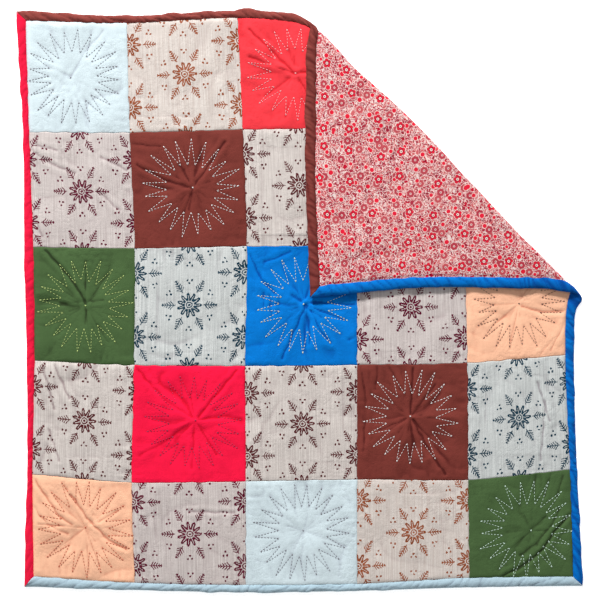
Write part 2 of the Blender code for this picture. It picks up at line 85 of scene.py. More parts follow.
# The four bindings: what each is dyed, its visible width where the seams meet it, in mm, from its low end to
# its high end, how deep its twist creases it, how far its outer edge waves in and out, and how deep the shade
# painted on its reverse is.
BINDINGS = {
    "left": {"dye": "red", "widths": (25, 14, 20, 24, 16, 25),
             "creases": 3.4, "waves": 1.0, "reverse_shade": 0.15},
    "head": {"dye": "brown", "widths": (25, 19, 20, 22, 22, 22),
             "creases": 9.0, "waves": 2.0, "reverse_shade": 0.34},
    "right": {"dye": "blue", "widths": (25, 18, 23, 24, 23, 24),
              "creases": 4.6, "waves": 1.2, "reverse_shade": 0.15},
    "foot": {"dye": "pale_blue", "widths": (28, 19, 19, 18, 25, 24),
             "creases": 2.8, "waves": 1.5, "reverse_shade": 0.15},
}

# The share of a binding's width that the cloth's edge reaches inside it, how far from a corner its mitres
# start to lean, and the gap that each strip leaves there.
CLOTH_EDGE = 0.76
MITRE_LEAN = 60.0 * MM
MITRE_GAP = 0.25 * MM

# The turned-back corner.
BEND_LINE = np.array(((0.7366, 1.4574), (1.4335, 0.7551)))
BEND_RADIUS = 11.5 * MM

# The bend isn't quite straight: how far it bows outward at places along it, and how far that reaches.
BOW_PLACES = np.array((0, 80, 150, 205, 290, 390, 470, 560, 650, 780, 900, 989)) * MM
BOW = np.array((0.0, 0.0, -3.0, 1.0, 5.0, 7.6, 5.7, 2.2, -1.2, -3.2, -2.2, 0.0)) * MM
BOW_REACH = 90.0 * MM

# Heights above the reverse face: a square's crown, the seams between squares and beside the bindings, a
# square's underside, and what the face may not pass, which is less where the turned corner presses on it.
CROWN_HEIGHT = 9.6 * MM
SEAM_HEIGHT = 8.6 * MM
BINDING_SEAM_HEIGHT = 6.4 * MM
UNDER_FACE = 1.6 * MM
LOWEST_FACE = 4.6 * MM
HIGHEST_FACE = 13.8 * MM
HIGHEST_PRESSED_FACE = 11.2 * MM

# How far past the turned corner the face is pressed, and over what distance it is let go.
PRESSED_MARGIN = 25 * MM
PRESSED_FADE = 30 * MM

# How deep a stitch sinks, how far a seam holds the filling down, and how far in the bindings hold the seams
# down.
STITCH_DEPTH = 0.6 * MM
SEAM_REACH = 4.0 * MM
BINDING_SEAM_REACH = 8.0 * MM

# The backing and what lies on it rise over the bindings' reverse lips, between two distances inside the seam.
EDGE_LIFT = 1.6 * MM
LIFT_START = 12.0 * MM
LIFT_END = 7.0 * MM

# The plain squares whose face shows: column and row from the lower left, the tie's place from the square's
# middle in mm, how hard it pulls the cloth, and the colour of the thread.
PLAIN_SQUARES = (
    {"column": 0, "row": 0, "tie": (8, 6), "pull": 0.95, "thread": "thread_rust"},
    {"column": 2, "row": 0, "tie": (4, 5), "pull": 0.6, "thread": "thread_slate"},
    {"column": 4, "row": 0, "tie": (28, -13), "pull": 0.8, "thread": "thread_mint"},
    {"column": 1, "row": 1, "tie": (17, 11), "pull": 1.1, "thread": "thread_mauve"},
    {"column": 3, "row": 1, "tie": (-7, 16), "pull": 1.4, "thread": "thread_white"},
    {"column": 0, "row": 2, "tie": (3, 0), "pull": 1.0, "thread": "thread_lime"},
    {"column": 2, "row": 2, "tie": (4, 5), "pull": 1.5, "thread": "thread_cream"},
    {"column": 4, "row": 2, "tie": (7, -4), "pull": 0.7, "thread": "thread_umber"},
    {"column": 1, "row": 3, "tie": (10, 4), "pull": 0.9, "thread": "thread_white"},
    {"column": 0, "row": 4, "tie": (-19, -1), "pull": 0.25, "thread": "thread_slate"},
    {"column": 2, "row": 4, "tie": (-4, 3), "pull": 0.9, "thread": "thread_blush"},
)
STAR_RAYS = 21
STAR_INNER_RADIUS = 64.0 * MM
STAR_OUTER_RADIUS = 126.0 * MM

# How far a star's middle follows its tie off the middle of the square.
TIE_SHARE_OF_STAR = 0.6

# The main creases: the depth of each, and its points on the cloth's plane, all in mm, from the corner where
# the left and foot bindings' seams meet.
CREASES = (
    (2.3, ((5, 268), (69, 175), (101, 151))),
    (2.6, ((101, 228), (148, 162), (201, 109), (246, 85))),
    (1.5, ((-2, 201), (40, 150), (90, 127))),
    (1.4, ((173, 160), (222, 188))),
    (3.6, ((1418, 176), (1375, 130), (1348, 86), (1300, 45), (1240, 14))),
    (1.5, ((1392, 191), (1372, 151), (1331, 102), (1287, 68))),
    (0.9, ((1355, 172), (1317, 138), (1271, 88))),
    (1.2, ((1330, 290), (1322, 235))),
    (1.3, ((1368, 286), (1352, 228))),
    (1.4, ((1400, 280), (1384, 225))),
    (3.0, ((570, 1460), (631, 1402), (686, 1349))),
    (2.4, ((572, 1388), (640, 1362), (692, 1344))),
    (2.0, ((694, 1344), (722, 1349))),
    (3.5, ((32, 877), (85, 819), (122, 768), (138, 737))),
    (1.1, ((74, 734), (186, 745))),
    (1.0, ((138, 729), (138, 680))),
    (2.5, ((273, 1102), (347, 1063), (416, 1041))),
    (2.5, ((427, 1047), (506, 1163))),
    (1.6, ((418, 1046), (387, 1102))),
    (1.6, ((421, 1036), (412, 983))),
    (1.5, ((262, 1158), (335, 1150))),
    (1.7, ((273, 564), (350, 480), (421, 432))),
    (2.5, ((435, 435), (482, 493), (538, 559))),
    (1.3, ((427, 419), (419, 299))),
    (1.2, ((416, 420), (340, 365), (281, 334))),
    (0.9, ((436, 428), (520, 440))),
    (2.5, ((996, 443), (1004, 564))),
    (1.8, ((1002, 443), (1062, 519))),
    (2.5, ((1002, 429), (1044, 352), (1089, 284))),
    (1.6, ((990, 432), (915, 400))),
    (1.6, ((865, 570), (878, 480), (872, 346))),
    (1.4, ((910, 577), (905, 510))),
    (1.4, ((940, 572), (972, 508))),
    (1.8, ((572, 864), (604, 798), (640, 760))),
    (1.6, ((612, 845), (678, 872))),
    (1.5, ((716, 727), (760, 700))),
    (1.8, ((718, 733), (683, 758))),
    (2.2, ((722, 728), (730, 664), (729, 628))),
    (2.0, ((725, 729), (759, 664), (786, 632))),
    (2.4, ((719, 729), (695, 673), (675, 630), (657, 590))),
    (1.8, ((727, 734), (785, 737), (858, 731))),
    (1.0, ((610, 764), (608, 730))),
    (1.0, ((625, 757), (628, 702))),
    (1.0, ((649, 749), (646, 709))),
    (1.4, ((834, 640), (862, 654))),
    (1.9, ((1291, 729), (1344, 713), (1402, 715))),
    (1.3, ((1367, 612), (1407, 691))),
    (1.0, ((1340, 600), (1372, 640))),
    (0.9, ((101, 1338), (133, 1397), (183, 1456))),
    (0.8, ((98, 1336), (33, 1365))),
    (1.4, ((16, 1487), (69, 1473))),
    (1.5, ((-12, 1160), (60, 1141))),
    (1.5, ((-8, 1144), (53, 1102), (110, 1081))),
    (1.5, ((-5, 976), (25, 913))),
    (1.5, ((180, 1123), (248, 1088))),
    (1.3, ((172, 1032), (228, 983))),
    (2.0, ((27, 564), (56, 458))),
    (2.0, ((56, 572), (95, 485))),
    (1.6, ((42, 400), (69, 321))),
    (2.0, ((1333, 527), (1365, 427))),
    (1.6, ((1354, 480), (1341, 321))),
    (1.6, ((413, 186), (533, 183))),
)

# Creases in the backing where it shows, as above.
BACKING_CREASES = (
    (2.2, ((1044, 1247), (1076, 1258), (1118, 1281))),
    (1.4, ((1002, 1301), (1050, 1290))),
    (1.2, ((1166, 1337), (1214, 1336))),
    (1.4, ((1373, 1364), (1336, 1335))),
    (1.2, ((1340, 1166), (1303, 1126))),
    (1.0, ((1077, 1433), (1143, 1416))),
)

# A crease is worked out this far round its points. Its trough fades out over its softness, between ridges
# that stand beside it by a share of its depth.
CREASE_MARGIN = 50 * MM
CREASE_SOFTNESS = 2.3 * MM
RIDGE_SHARE = 0.48
RIDGE_DISTANCE = 10.0 * MM
RIDGE_SOFTNESS = 7.0 * MM

# How much a point stands below or above the cloth round it where the shade painted on it is deepest
# or the light painted on it is brightest.
PAINTED_SHADE_RANGE = 2.4 * MM

# The hollow that each tie draws in the filling, how far its creases and facets go each way from the middle
# of its square, and how close to the tie they fade out.
TIE_HOLLOW = 2.6 * MM
TIE_HOLLOW_REACH = 24.0 * MM
TIE_FIELD = 190 * MM
TIE_CALM = 9.0 * MM

# The facets that fan out from each tie, and the short creases between them.
FACETS = 11
FACET_SLOPE = 0.080
FACET_REACH = 120.0 * MM
SHORT_CREASES = 13

# Crumples in the filled cloth: how far apart and how deep, and the seed of each.
CRUMPLES = ((105 * MM, 1.3 * MM, 15), (36 * MM, 0.3 * MM, 16))

# How far the seams stray and how far beside them that is felt, how far creases wander off their paths and
# over what distance, and small puckers square to the seams.
SEAM_WANDER = 0.6 * MM
SEAM_WANDER_REACH = 9.0 * MM
CREASE_WANDER = 0.8 * MM
CREASE_WANDER_SIZE = 18 * MM
PUCKER_DEPTH = 1.0 * MM
PUCKER_REACH = 16.0 * MM

# How the face settles: the cloth's fullness over each kind of square, how hard the filling lifts it and how
# stiff it is, how much its diagonals resist, and the cells of a square and the rounds of each pass.
FULLNESS = {"printed": 0.006, "plain": 0.009}
FILLING_LIFT = np.float32(0.010)
CLOTH_STIFFNESS = np.float32(0.012)
DIAGONAL_SHARE = np.float32(0.45)
COARSE_PASS = {"cells": 32, "rounds": 160}
FINE_PASS = {"cells": 96, "rounds": 170}

# Handwork: the stitches' spacing, the height of each point of a stitch in its own radii, with both ends down
# in the cloth, how far all of it is lifted, half the length of a tie's three strands and the angle of each,
# and how far a star goes each way from the middle of its square.
STITCH_SPACING = 8.4 * MM
STITCH_RISE = np.array((-0.5, 0.55, 0.9, 0.55, -0.5))
STITCH_LIFT = 0.2 * MM
TIE_HALF_LENGTH = 2.4 * MM
TIE_ANGLES = (0.0, 1.0, 2.1)
STAR_FIELD = 139 * MM


def knot_weights(knots, places):
    """How much the value at each knot counts at each place, on a smooth curve through all the knots."""
    count = len(knots)
    slopes = np.zeros((count, count))
    for i in range(count):
        low, high = max(i - 1, 0), min(i + 1, count - 1)
        slopes[i, high] += 1.0 / (knots[high] - knots[low])
        slopes[i, low] -= 1.0 / (knots[high] - knots[low])
    places = np.clip(places, knots[0], knots[-1])
    left = np.clip(np.searchsorted(knots, places, side="right") - 1, 0, count - 2)
    width = (knots[left + 1] - knots[left])[:, None]
    x = (places - knots[left])[:, None] / width
    unit = np.eye(count)
    return (
        (2 * x**3 - 3 * x**2 + 1) * unit[left]
        + (3 * x**2 - 2 * x**3) * unit[left + 1]
        + (x**3 - 2 * x**2 + x) * width * slopes[left]
        + (x**3 - x**2) * width * slopes[left + 1]
    )


def laid(even):
    """Even (across, up) places on the quilt, moved to where its uneven seams take them."""
    across = knot_weights(COLUMN_SEAMS, even[:, 0])
    up = knot_weights(ROW_SEAMS, even[:, 1])
    plane = even + np.einsum("ni,nj,ijk->nk", up, across, CROSSING_DRIFT)
    for end in BEND_END_SHIFTS:
        away = np.linalg.norm(even - np.array(end["place"]), axis=1) / BEND_END_FADE
        plane += np.exp(-away**2)[:, None] * np.array(end["shift"]) * MM
    return plane


def evened(plane):
    """The even place of each point of the cloth's plane: the reverse of laid."""
    even = plane.copy()
    for _ in range(12):
        even += plane - laid(even)
    return even


def bend_axes():
    """The bend line's first point, the unit vector along it, and the one towards the turned corner."""
    start, end = BEND_LINE
    along = (end - start) / np.linalg.norm(end - start)
    return start, along, np.array((-along[1], along[0]))


def past_bend(plane):
    """How far each point of the cloth's plane lies past the line where the bend begins."""
    start, _, outward = bend_axes()
    return (plane - start) @ outward


def folded(plane, height):
    """Points of the cloth's plane, with their heights above the reverse face, laid down and turned back."""
    start, along, outward = bend_axes()
    past = past_bend(plane)
    turn = np.clip(past / BEND_RADIUS, 0.0, math.pi)
    beyond = np.maximum(past - math.pi * BEND_RADIUS, 0.0)
    reach = np.minimum(past, 0.0) + (BEND_RADIUS - height) * np.sin(turn) - beyond
    level = BEND_RADIUS * (1.0 - np.cos(turn)) + height * np.cos(turn)
    run = (plane - start) @ along
    reach = reach + np.exp(-(reach / BOW_REACH) ** 2) * (knot_weights(BOW_PLACES, run) @ BOW)
    flat = start + run[:, None] * along + reach[:, None] * outward
    return np.column_stack((flat, level))


def turned(plane):
    """How far each point has been turned over: 0 on the base, 1 past the bend."""
    share = np.clip(past_bend(plane) / (math.pi * BEND_RADIUS), 0.0, 1.0)
    return share * share * (3 - 2 * share)


def side_knots(side):
    """The places along one side where the seams meet it."""
    return ROW_SEAMS if side in ("left", "right") else COLUMN_SEAMS


def side_widths(side):
    """The binding's width at each of one side's knots."""
    return np.array(BINDINGS[side]["widths"]) * MM


def side_width(side, along):
    """The binding's width at places along one side."""
    return knot_weights(side_knots(side), np.atleast_1d(along)) @ side_widths(side)


def neighbour_width(side, high_end):
    """The width, at the corner they share, of the binding that meets this side's low or high end."""
    low_end, far_end = ("foot", "head") if side in ("left", "right") else ("left", "right")
    return side_widths(far_end if high_end else low_end)[0 if side in ("left", "foot") else -1]


def on_side(side, along, outward):
    """The even (across, up) places at distances along one side and outward from its seam."""
    if side == "left":
        return np.column_stack((-outward, along))
    if side == "right":
        return np.column_stack((COLUMN_SEAMS[-1] + outward, along))
    if side == "foot":
        return np.column_stack((along, -outward))
    return np.column_stack((along, ROW_SEAMS[-1] + outward))


def leaned(side, along, share):
    """Places along a side, leaned over to the mitre lines near its two corners."""
    knots = side_knots(side)
    low = np.maximum(0.0, 1.0 - (along - knots[0]) / MITRE_LEAN) * share * neighbour_width(side, False)
    high = np.maximum(0.0, 1.0 - (knots[-1] - along) / MITRE_LEAN) * share * neighbour_width(side, True)
    return along - low + high


def cloth_outline(share, step=6 * MM):
    """The loop round the cloth at one share of the bindings' widths, anticlockwise, on its plane."""
    lines = []
    for side in ("foot", "right", "head", "left"):
        knots = side_knots(side)
        along = np.linspace(knots[0], knots[-1], int((knots[-1] - knots[0]) / step))
        line = laid(on_side(side, leaned(side, along, share), share * side_width(side, along)))
        lines.append(line[:-1] if side in ("foot", "right") else line[:0:-1])
    return np.vstack(lines)


def frame_origin():
    """The frame's origin on the cloth's plane: both have the backing's left and lower edges."""
    low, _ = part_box("backing")
    outline = cloth_outline(CLOTH_EDGE)
    return np.array((outline[:, 0].min() - low[0], outline[:, 1].min() - low[1], 0.0))


ORIGIN = frame_origin()


def outside_seam(even):
    """How far each place lies outside the bindings' seams; negative inside them."""
    return np.hstack((-even, even - (COLUMN_SEAMS[-1], ROW_SEAMS[-1]))).max(axis=1)


def beside_seams(even):
    """How far each place lies from the nearest column seam and from the nearest row seam."""
    return [np.min(np.abs(places[:, None] - seams), axis=1)
            for places, seams in zip(even.T, (COLUMN_SEAMS, ROW_SEAMS))]


def distance_to_path(points, path):
    """The distance from each point to a path of straight runs."""
    nearest = np.full(len(points), np.inf)
    for start, end in zip(path, path[1:]):
        step = end - start
        share = np.clip((points - start) @ step / (step @ step), 0.0, 1.0)
        gap = np.linalg.norm(points - start - share[:, None] * step, axis=1)
        nearest = np.minimum(nearest, gap)
    return nearest


def soft_noise(plane, size, seed, waves=28):
    """Smooth noise of about -2 to 2 whose bumps are about a size across, the same on each run."""
    draw = np.random.default_rng(seed)
    angle = draw.uniform(0, 2 * math.pi, waves)
    length = size * draw.uniform(1.4, 3.2, waves)
    phase = draw.uniform(0, 2 * math.pi, waves)
    total = np.zeros(len(plane))
    for a, l, p in zip(angle, length, phase):
        total += np.cos((plane[:, 0] * math.cos(a) + plane[:, 1] * math.sin(a)) * 2 * math.pi / l + p)
    return total / math.sqrt(waves / 2)


def shifts(plane, reach, size, seed):
    """Small sideways shifts that make straight lines wander, from two noises with seeds one apart."""
    return reach * np.column_stack([soft_noise(plane, size, seed + k) for k in (0, 1)])


def ray(angle, length):
    """The vector of a length that points at an angle."""
    return length * np.array((math.cos(angle), math.sin(angle)))


# --- The stars --------------------------------------------------------------------------------------------

def square_middle(square):
    """The even place of a square's middle."""
    spans = ((COLUMN_SEAMS, square["column"]), (ROW_SEAMS, square["row"]))
    return np.array([(seams[place] + seams[place + 1]) / 2 for seams, place in spans])


def star_tie(square):
    """The even place of a square's tie."""
    return square_middle(square) + np.array(square["tie"]) * MM


def star_draw(square):
    """The random draws that make one square's handwork its own."""
    return np.random.default_rng(100 + square["column"] * 10 + square["row"])


def star_loop(square):
    """The stitched line of one star, each ray a little longer, shorter or turned, as by hand."""
    draw = star_draw(square)
    centre = square_middle(square) + TIE_SHARE_OF_STAR * np.array(square["tie"]) * MM
    turn = draw.uniform(0, 2 * math.pi / STAR_RAYS)
    points = []
    for point in range(STAR_RAYS):
        for half, radius in ((0.0, STAR_OUTER_RADIUS), (0.5, STAR_INNER_RADIUS)):
            angle = turn + (point + half + draw.normal(0, 0.05)) * 2 * math.pi / STAR_RAYS
            points.append(centre + ray(angle, radius * (1 + draw.normal(0, 0.035))))
    middle = square_middle(square)
    return np.clip(np.array(points + points[:1]), middle - STAR_FIELD, middle + STAR_FIELD)


def tie_creases(square):
    """The depth and path of each crease that the tie draws: one at each fold line, and short ones between."""
    draw = star_draw(square)
    tie = star_tie(square)
    creases = [(angle, draw.uniform(30, 125), 0.5 + 1.7 * draw.random() ** 2)
               for angle, _ in tie_facets(square)]
    turn = draw.uniform(0, 2 * math.pi)
    creases += [(turn + (k + draw.uniform(-0.3, 0.3)) * 2 * math.pi / SHORT_CREASES,
                 draw.uniform(22, 60), draw.uniform(0.5, 1.3)) for k in range(SHORT_CREASES)]
    return [(depth * square["pull"] * MM, np.array((tie, tie + ray(angle, reach * MM))))
            for angle, reach, depth in creases]


def tie_facets(square):
    """The fold lines that fan out from a tie: the direction of each and how far it stands up or down."""
    draw = star_draw(square)
    spread = draw.uniform(0.5, 1.5, FACETS)
    angles = np.cumsum(spread) / spread.sum() * 2 * math.pi - math.pi
    return list(zip(angles, draw.uniform(-1, 1, FACETS) * FACET_SLOPE))


def facet_relief(square, plane):
    """The height that the flat facets between a tie's fold lines give each point of the cloth's plane."""
    away = plane - laid(star_tie(square)[None])
    reach = np.linalg.norm(away, axis=1)
    angle = np.arctan2(away[:, 1], away[:, 0]) + 0.10 * soft_noise(plane, 40 * MM, 14)
    angles, slopes = zip(*tie_facets(square))
    slope = np.interp(angle, angles, slopes, period=2 * math.pi)
    return square["pull"] * slope * reach * np.exp(-(reach / FACET_REACH) ** 2)


# --- The quilted face, relaxed ----------------------------------------------------------------------------

def slice_pairs(grid):
    """The grid's neighbours, as eight batches of pairs in which no point comes twice."""
    batches = (
        (grid[:, 0:-1:2], grid[:, 1::2]), (grid[:, 1:-1:2], grid[:, 2::2]),
        (grid[0:-1:2], grid[1::2]), (grid[1:-1:2], grid[2::2]),
        (grid[0:-1:2, :-1], grid[1::2, 1:]), (grid[1:-1:2, :-1], grid[2::2, 1:]),
        (grid[0:-1:2, 1:], grid[1::2, :-1]), (grid[1:-1:2, 1:], grid[2::2, :-1]),
    )
    pairs = []
    for a, b in batches:
        rows, columns = min(a.shape[0], b.shape[0]), min(a.shape[1], b.shape[1])
        pairs.append((a[:rows, :columns], b[:rows, :columns]))
    return pairs


def laplacian(values):
    """The sum of each inner point's four neighbours less four times the point."""
    found = np.zeros_like(values)
    found[1:-1, 1:-1] = (values[:-2, 1:-1] + values[2:, 1:-1] + values[1:-1, :-2] + values[1:-1, 2:]
                         - 4 * values[1:-1, 1:-1])
    return found


def relax(points, free, lengths, target, rounds):
    """Lets the cloth, cut a little too full for its place, settle into puckers over its filling.

    Neighbours are drawn to their own lengths, the filling draws the face to its loft, and the cloth's
    stiffness smooths it. Points that are sewn down, where free is 0, stay.
    """
    pairs, weights = slice_pairs(points), slice_pairs(free)
    shares = [np.float32(1.0)] * 4 + [DIAGONAL_SHARE] * 4
    for _ in range(rounds):
        for (a, b), (wa, wb), length, share in zip(pairs, weights, lengths, shares):
            gap = b - a
            size = np.sqrt((gap * gap).sum(-1))
            pull = (share * (size - length) / (size * (wa + wb) + np.float32(1e-12)))[..., None] * gap
            a += wa[..., None] * pull
            b -= wb[..., None] * pull
        height = points[..., 2]
        height -= free * (CLOTH_STIFFNESS * laplacian(laplacian(height)) + FILLING_LIFT * (height - target))


def highest_face(plane):
    """The highest that the face may stand: less where the turned-back corner lies on it, and on that."""
    _, _, outward = bend_axes()
    mirrored = evened(plane - 2 * past_bend(plane)[:, None] * outward)
    clear = (mirrored - (COLUMN_SEAMS[-1], ROW_SEAMS[-1])).max(axis=1) - PRESSED_MARGIN
    clear = np.where(past_bend(plane) > 0, 0.0, np.clip(clear / PRESSED_FADE, 0.0, 1.0))
    return HIGHEST_PRESSED_FACE + clear * (HIGHEST_FACE - HIGHEST_PRESSED_FACE)


def softened(values, reach):
    """A grid of values, each made the mean of those within some cells of it."""
    for axis in (0, 1, 0, 1):
        spread = [np.roll(values, shift, axis) for shift in range(-reach, reach + 1)]
        values = sum(spread) / len(spread)
    return values


def face_lines(cells):
    """The even places of the face's grid lines, with the same number of cells in every square."""
    share = np.arange(cells) / cells
    return [np.append(np.concatenate([low + share * (high - low) for low, high in zip(seams, seams[1:])]),
                      seams[-1]) for seams in (COLUMN_SEAMS, ROW_SEAMS)]


def seam_rise(even):
    """How far the filling may lift each even place: 0 on a seam, 1 in the open."""
    beside_column, beside_row = beside_seams(even)
    return (1 - np.exp(-beside_column / SEAM_REACH)) * (1 - np.exp(-beside_row / SEAM_REACH))


def seam_height(even):
    """The height at which the seams hold the face, lower towards the bindings."""
    return SEAM_HEIGHT - (SEAM_HEIGHT - BINDING_SEAM_HEIGHT) * np.exp(outside_seam(even) / BINDING_SEAM_REACH)


def seam_wander(even, plane):
    """How far the patchwork's seams stray sideways between the stitches, fading into the squares."""
    beside = np.min(beside_seams(even), axis=0)
    clear = np.clip((-outside_seam(even) - 3 * MM) / (14 * MM), 0.0, 1.0)
    share = np.exp(-beside / SEAM_WANDER_REACH) * clear
    return share[:, None] * shifts(plane, SEAM_WANDER, 19 * MM, 41)


def face_target(even, plane):
    """The height that the filling lifts the face to."""
    height = CROWN_HEIGHT + 0.5 * MM * soft_noise(plane, 70 * MM, 5)
    for near, stretch, seed in zip(beside_seams(even), ((0.15, 1.0), (1.0, 0.15)), (31, 32)):
        folds = np.abs(soft_noise(plane * stretch, 11 * MM, seed))
        places = np.clip(soft_noise(plane, 90 * MM, seed + 5) + 0.6, 0.15, 1.5)
        height -= PUCKER_DEPTH * places * (0.8 - folds) * np.exp(-near / PUCKER_REACH)
    for square in PLAIN_SQUARES:
        away = np.linalg.norm(plane - laid(star_tie(square)[None]), axis=1)
        height -= TIE_HOLLOW * np.exp(-away / TIE_HOLLOW_REACH)
    base = seam_height(even)
    return base + (height - base) * seam_rise(even)


def crease_relief(even, plane):
    """The sharp creases, crumples and facets that lie over the filled cloth's soft form."""
    height = np.zeros(len(plane))
    for size, depth, seed in CRUMPLES:
        places = np.clip(0.75 + 0.6 * soft_noise(plane, 130 * MM, seed + 4), 0.1, 1.6)
        height += depth * places * (np.abs(soft_noise(plane, size, seed)) - 0.8)
    for square in PLAIN_SQUARES:
        middle = laid(square_middle(square)[None])
        near = np.nonzero((np.abs(plane - middle) < TIE_FIELD).all(axis=1))[0]
        height[near] += facet_relief(square, plane[near])
        radial = np.zeros(len(near))
        wandered = plane[near] + shifts(plane[near], 0.4 * CREASE_WANDER, CREASE_WANDER_SIZE, 7)
        for depth, path in tie_creases(square):
            away = distance_to_path(wandered, laid(path))
            radial = np.maximum(radial, depth * np.exp(-away / CREASE_SOFTNESS))
        from_tie = np.linalg.norm(plane[near] - laid(star_tie(square)[None]), axis=1)
        height[near] -= radial * (1 - np.exp(-from_tie / TIE_CALM))
    for depth, points in CREASES:
        path = np.array(points) * MM
        low, high = path.min(axis=0) - CREASE_MARGIN, path.max(axis=0) + CREASE_MARGIN
        near = np.nonzero(((plane > low) & (plane < high)).all(axis=1))[0]
        wandered = plane[near] + shifts(plane[near], CREASE_WANDER, CREASE_WANDER_SIZE, 7)
        away = distance_to_path(wandered, path)
        trough = np.exp(-away / CREASE_SOFTNESS)
        ridge = RIDGE_SHARE * np.exp(-((away - RIDGE_DISTANCE) / RIDGE_SOFTNESS) ** 2)
        height[near] += depth * MM * (ridge - trough)
    return height * seam_rise(even)


def between_lines(lines, places):
    """The grid line below each place, and the share of the way from it to the next line."""
    below = np.clip(np.searchsorted(lines, places) - 1, 0, len(lines) - 2)
    return below, (places - lines[below]) / (lines[below + 1] - lines[below])


def grid_index(even, lines):
    """The nearest grid row and column of each even place."""
    column, row = [below + (share >= 0.5) for below, share in map(between_lines, lines, even.T)]
    return row, column


def finer(coarse, lines_from, lines_to):
    """A grid of values read off at finer grid lines."""
    for lines, wanted in zip(lines_from[::-1], lines_to[::-1]):
        below, share = between_lines(lines, wanted)
        coarse = (coarse[below] * (1 - share[:, None]) + coarse[below + 1] * share[:, None]).T
    return coarse


def relaxed_face(cells, rounds, start=None):
    """The quilted face on its grid: points on the cloth's plane with their heights above the reverse.

    Gives the grid's lines, the points, and where they would lie unrelaxed. start holds what a coarser pass
    gave, which this one refines.
    """
    across, up = face_lines(cells)
    shape = (len(up), len(across))
    even = np.stack(np.meshgrid(across, up), axis=-1).reshape(-1, 2)
    plane = laid(even)
    plane += seam_wander(even, plane)
    target = face_target(even, plane)
    plain = (np.searchsorted(COLUMN_SEAMS, even[:, 0], side="right")
             + np.searchsorted(ROW_SEAMS, even[:, 1], side="right")) % 2 == 0
    fullness = np.where(plain, FULLNESS["plain"], FULLNESS["printed"])
    fullness *= np.clip(1 + 0.5 * soft_noise(plane, 90 * MM, 11), 0.2, 2.0)
    free = np.ones(shape, np.float32)
    free[::cells, :] = 0
    free[:, ::cells] = 0
    height = target + 0.25 * MM * soft_noise(plane, 7 * MM, 12) + 0.35 * MM * soft_noise(plane, 16 * MM, 13)
    points = np.column_stack((plane, height)).reshape(*shape, 3)
    if start is not None:
        lines, solved, rest = start
        for axis in range(3):
            points[..., axis] += finer(solved[..., axis] - rest[..., axis], lines, (across, up))
        points[..., 2] -= 0.5 * MM * soft_noise(plane, 16 * MM, 13).reshape(shape)
    rest = np.column_stack((plane, target)).reshape(*shape, 3)
    points[::cells] = rest[::cells]
    points[:, ::cells] = rest[:, ::cells]
    for square in PLAIN_SQUARES:
        loop = star_loop(square)
        for a, b in zip(loop, loop[1:]):
            count = int(np.linalg.norm(b - a) / (1.5 * MM))
            dots = a + (np.arange(count) / count)[:, None] * (b - a)
            row, column = grid_index(dots, (across, up))
            points[row, column, 2] = rest[row, column, 2] - STITCH_DEPTH
            free[row, column] = 0
        row, column = grid_index(star_tie(square)[None], (across, up))
        points[row, column, 2] = rest[row, column, 2]
        free[row, column] = 0
    points = points.astype(np.float32)
    flat = np.column_stack((plane, np.zeros(len(plane)))).reshape(*shape, 3).astype(np.float32)
    full = fullness.reshape(shape).astype(np.float32)
    lengths = [
        np.sqrt(((b - a) ** 2).sum(-1)) * (1 + (fa + fb) / 2)
        for (a, b), (fa, fb) in zip(slice_pairs(flat), slice_pairs(full))
    ]
    relax(points, free, lengths, target.reshape(shape).astype(np.float32), rounds)
    return (across, up), points.astype(float), rest


class Face:
    """The relaxed face, kept for every operator that needs it."""
    lines = None
    points = None
    loft = None

    @classmethod
    def ready(cls):
        """Relaxes the face in two passes and creases it, the first time that it is needed."""
        if cls.points is None:
            cls.lines, cls.points, _ = relaxed_face(**FINE_PASS, start=relaxed_face(**COARSE_PASS))
            even = np.stack(np.meshgrid(*cls.lines), axis=-1).reshape(-1, 2)
            height = cls.points[..., 2]
            plane = laid(even)
            height += crease_relief(even, plane).reshape(height.shape)
            np.clip(height, LOWEST_FACE, highest_face(plane).reshape(height.shape), out=height)
            # The loft paints shade and light: a point below the cloth round it is painted darker, one above
            # it lighter, and less so near the seams.
            shade = (height - softened(height, 2)) / PAINTED_SHADE_RANGE
            cls.loft = 0.5 + shade * seam_rise(even).reshape(height.shape) ** 2

    @classmethod
    def at(cls, even):
        """Points of the face, with their heights, at even places."""
        (column, x), (row, y) = map(between_lines, cls.lines, even.T)
        x, y, grid = x[:, None], y[:, None], cls.points
        low = grid[row, column] * (1 - x) + grid[row, column + 1] * x
        high = grid[row + 1, column] * (1 - x) + grid[row + 1, column + 1] * x
        return low * (1 - y) + high * y


# --- Meshes -----------------------------------------------------------------------------------------------

def in_scene(name, data, place=(0.0, 0.0, 0.0)):
    """A new object in the scene, at a place."""
    item = bpy.data.objects.new(name, data)
    item.location = place
    bpy.context.scene.collection.objects.link(item)
    return item


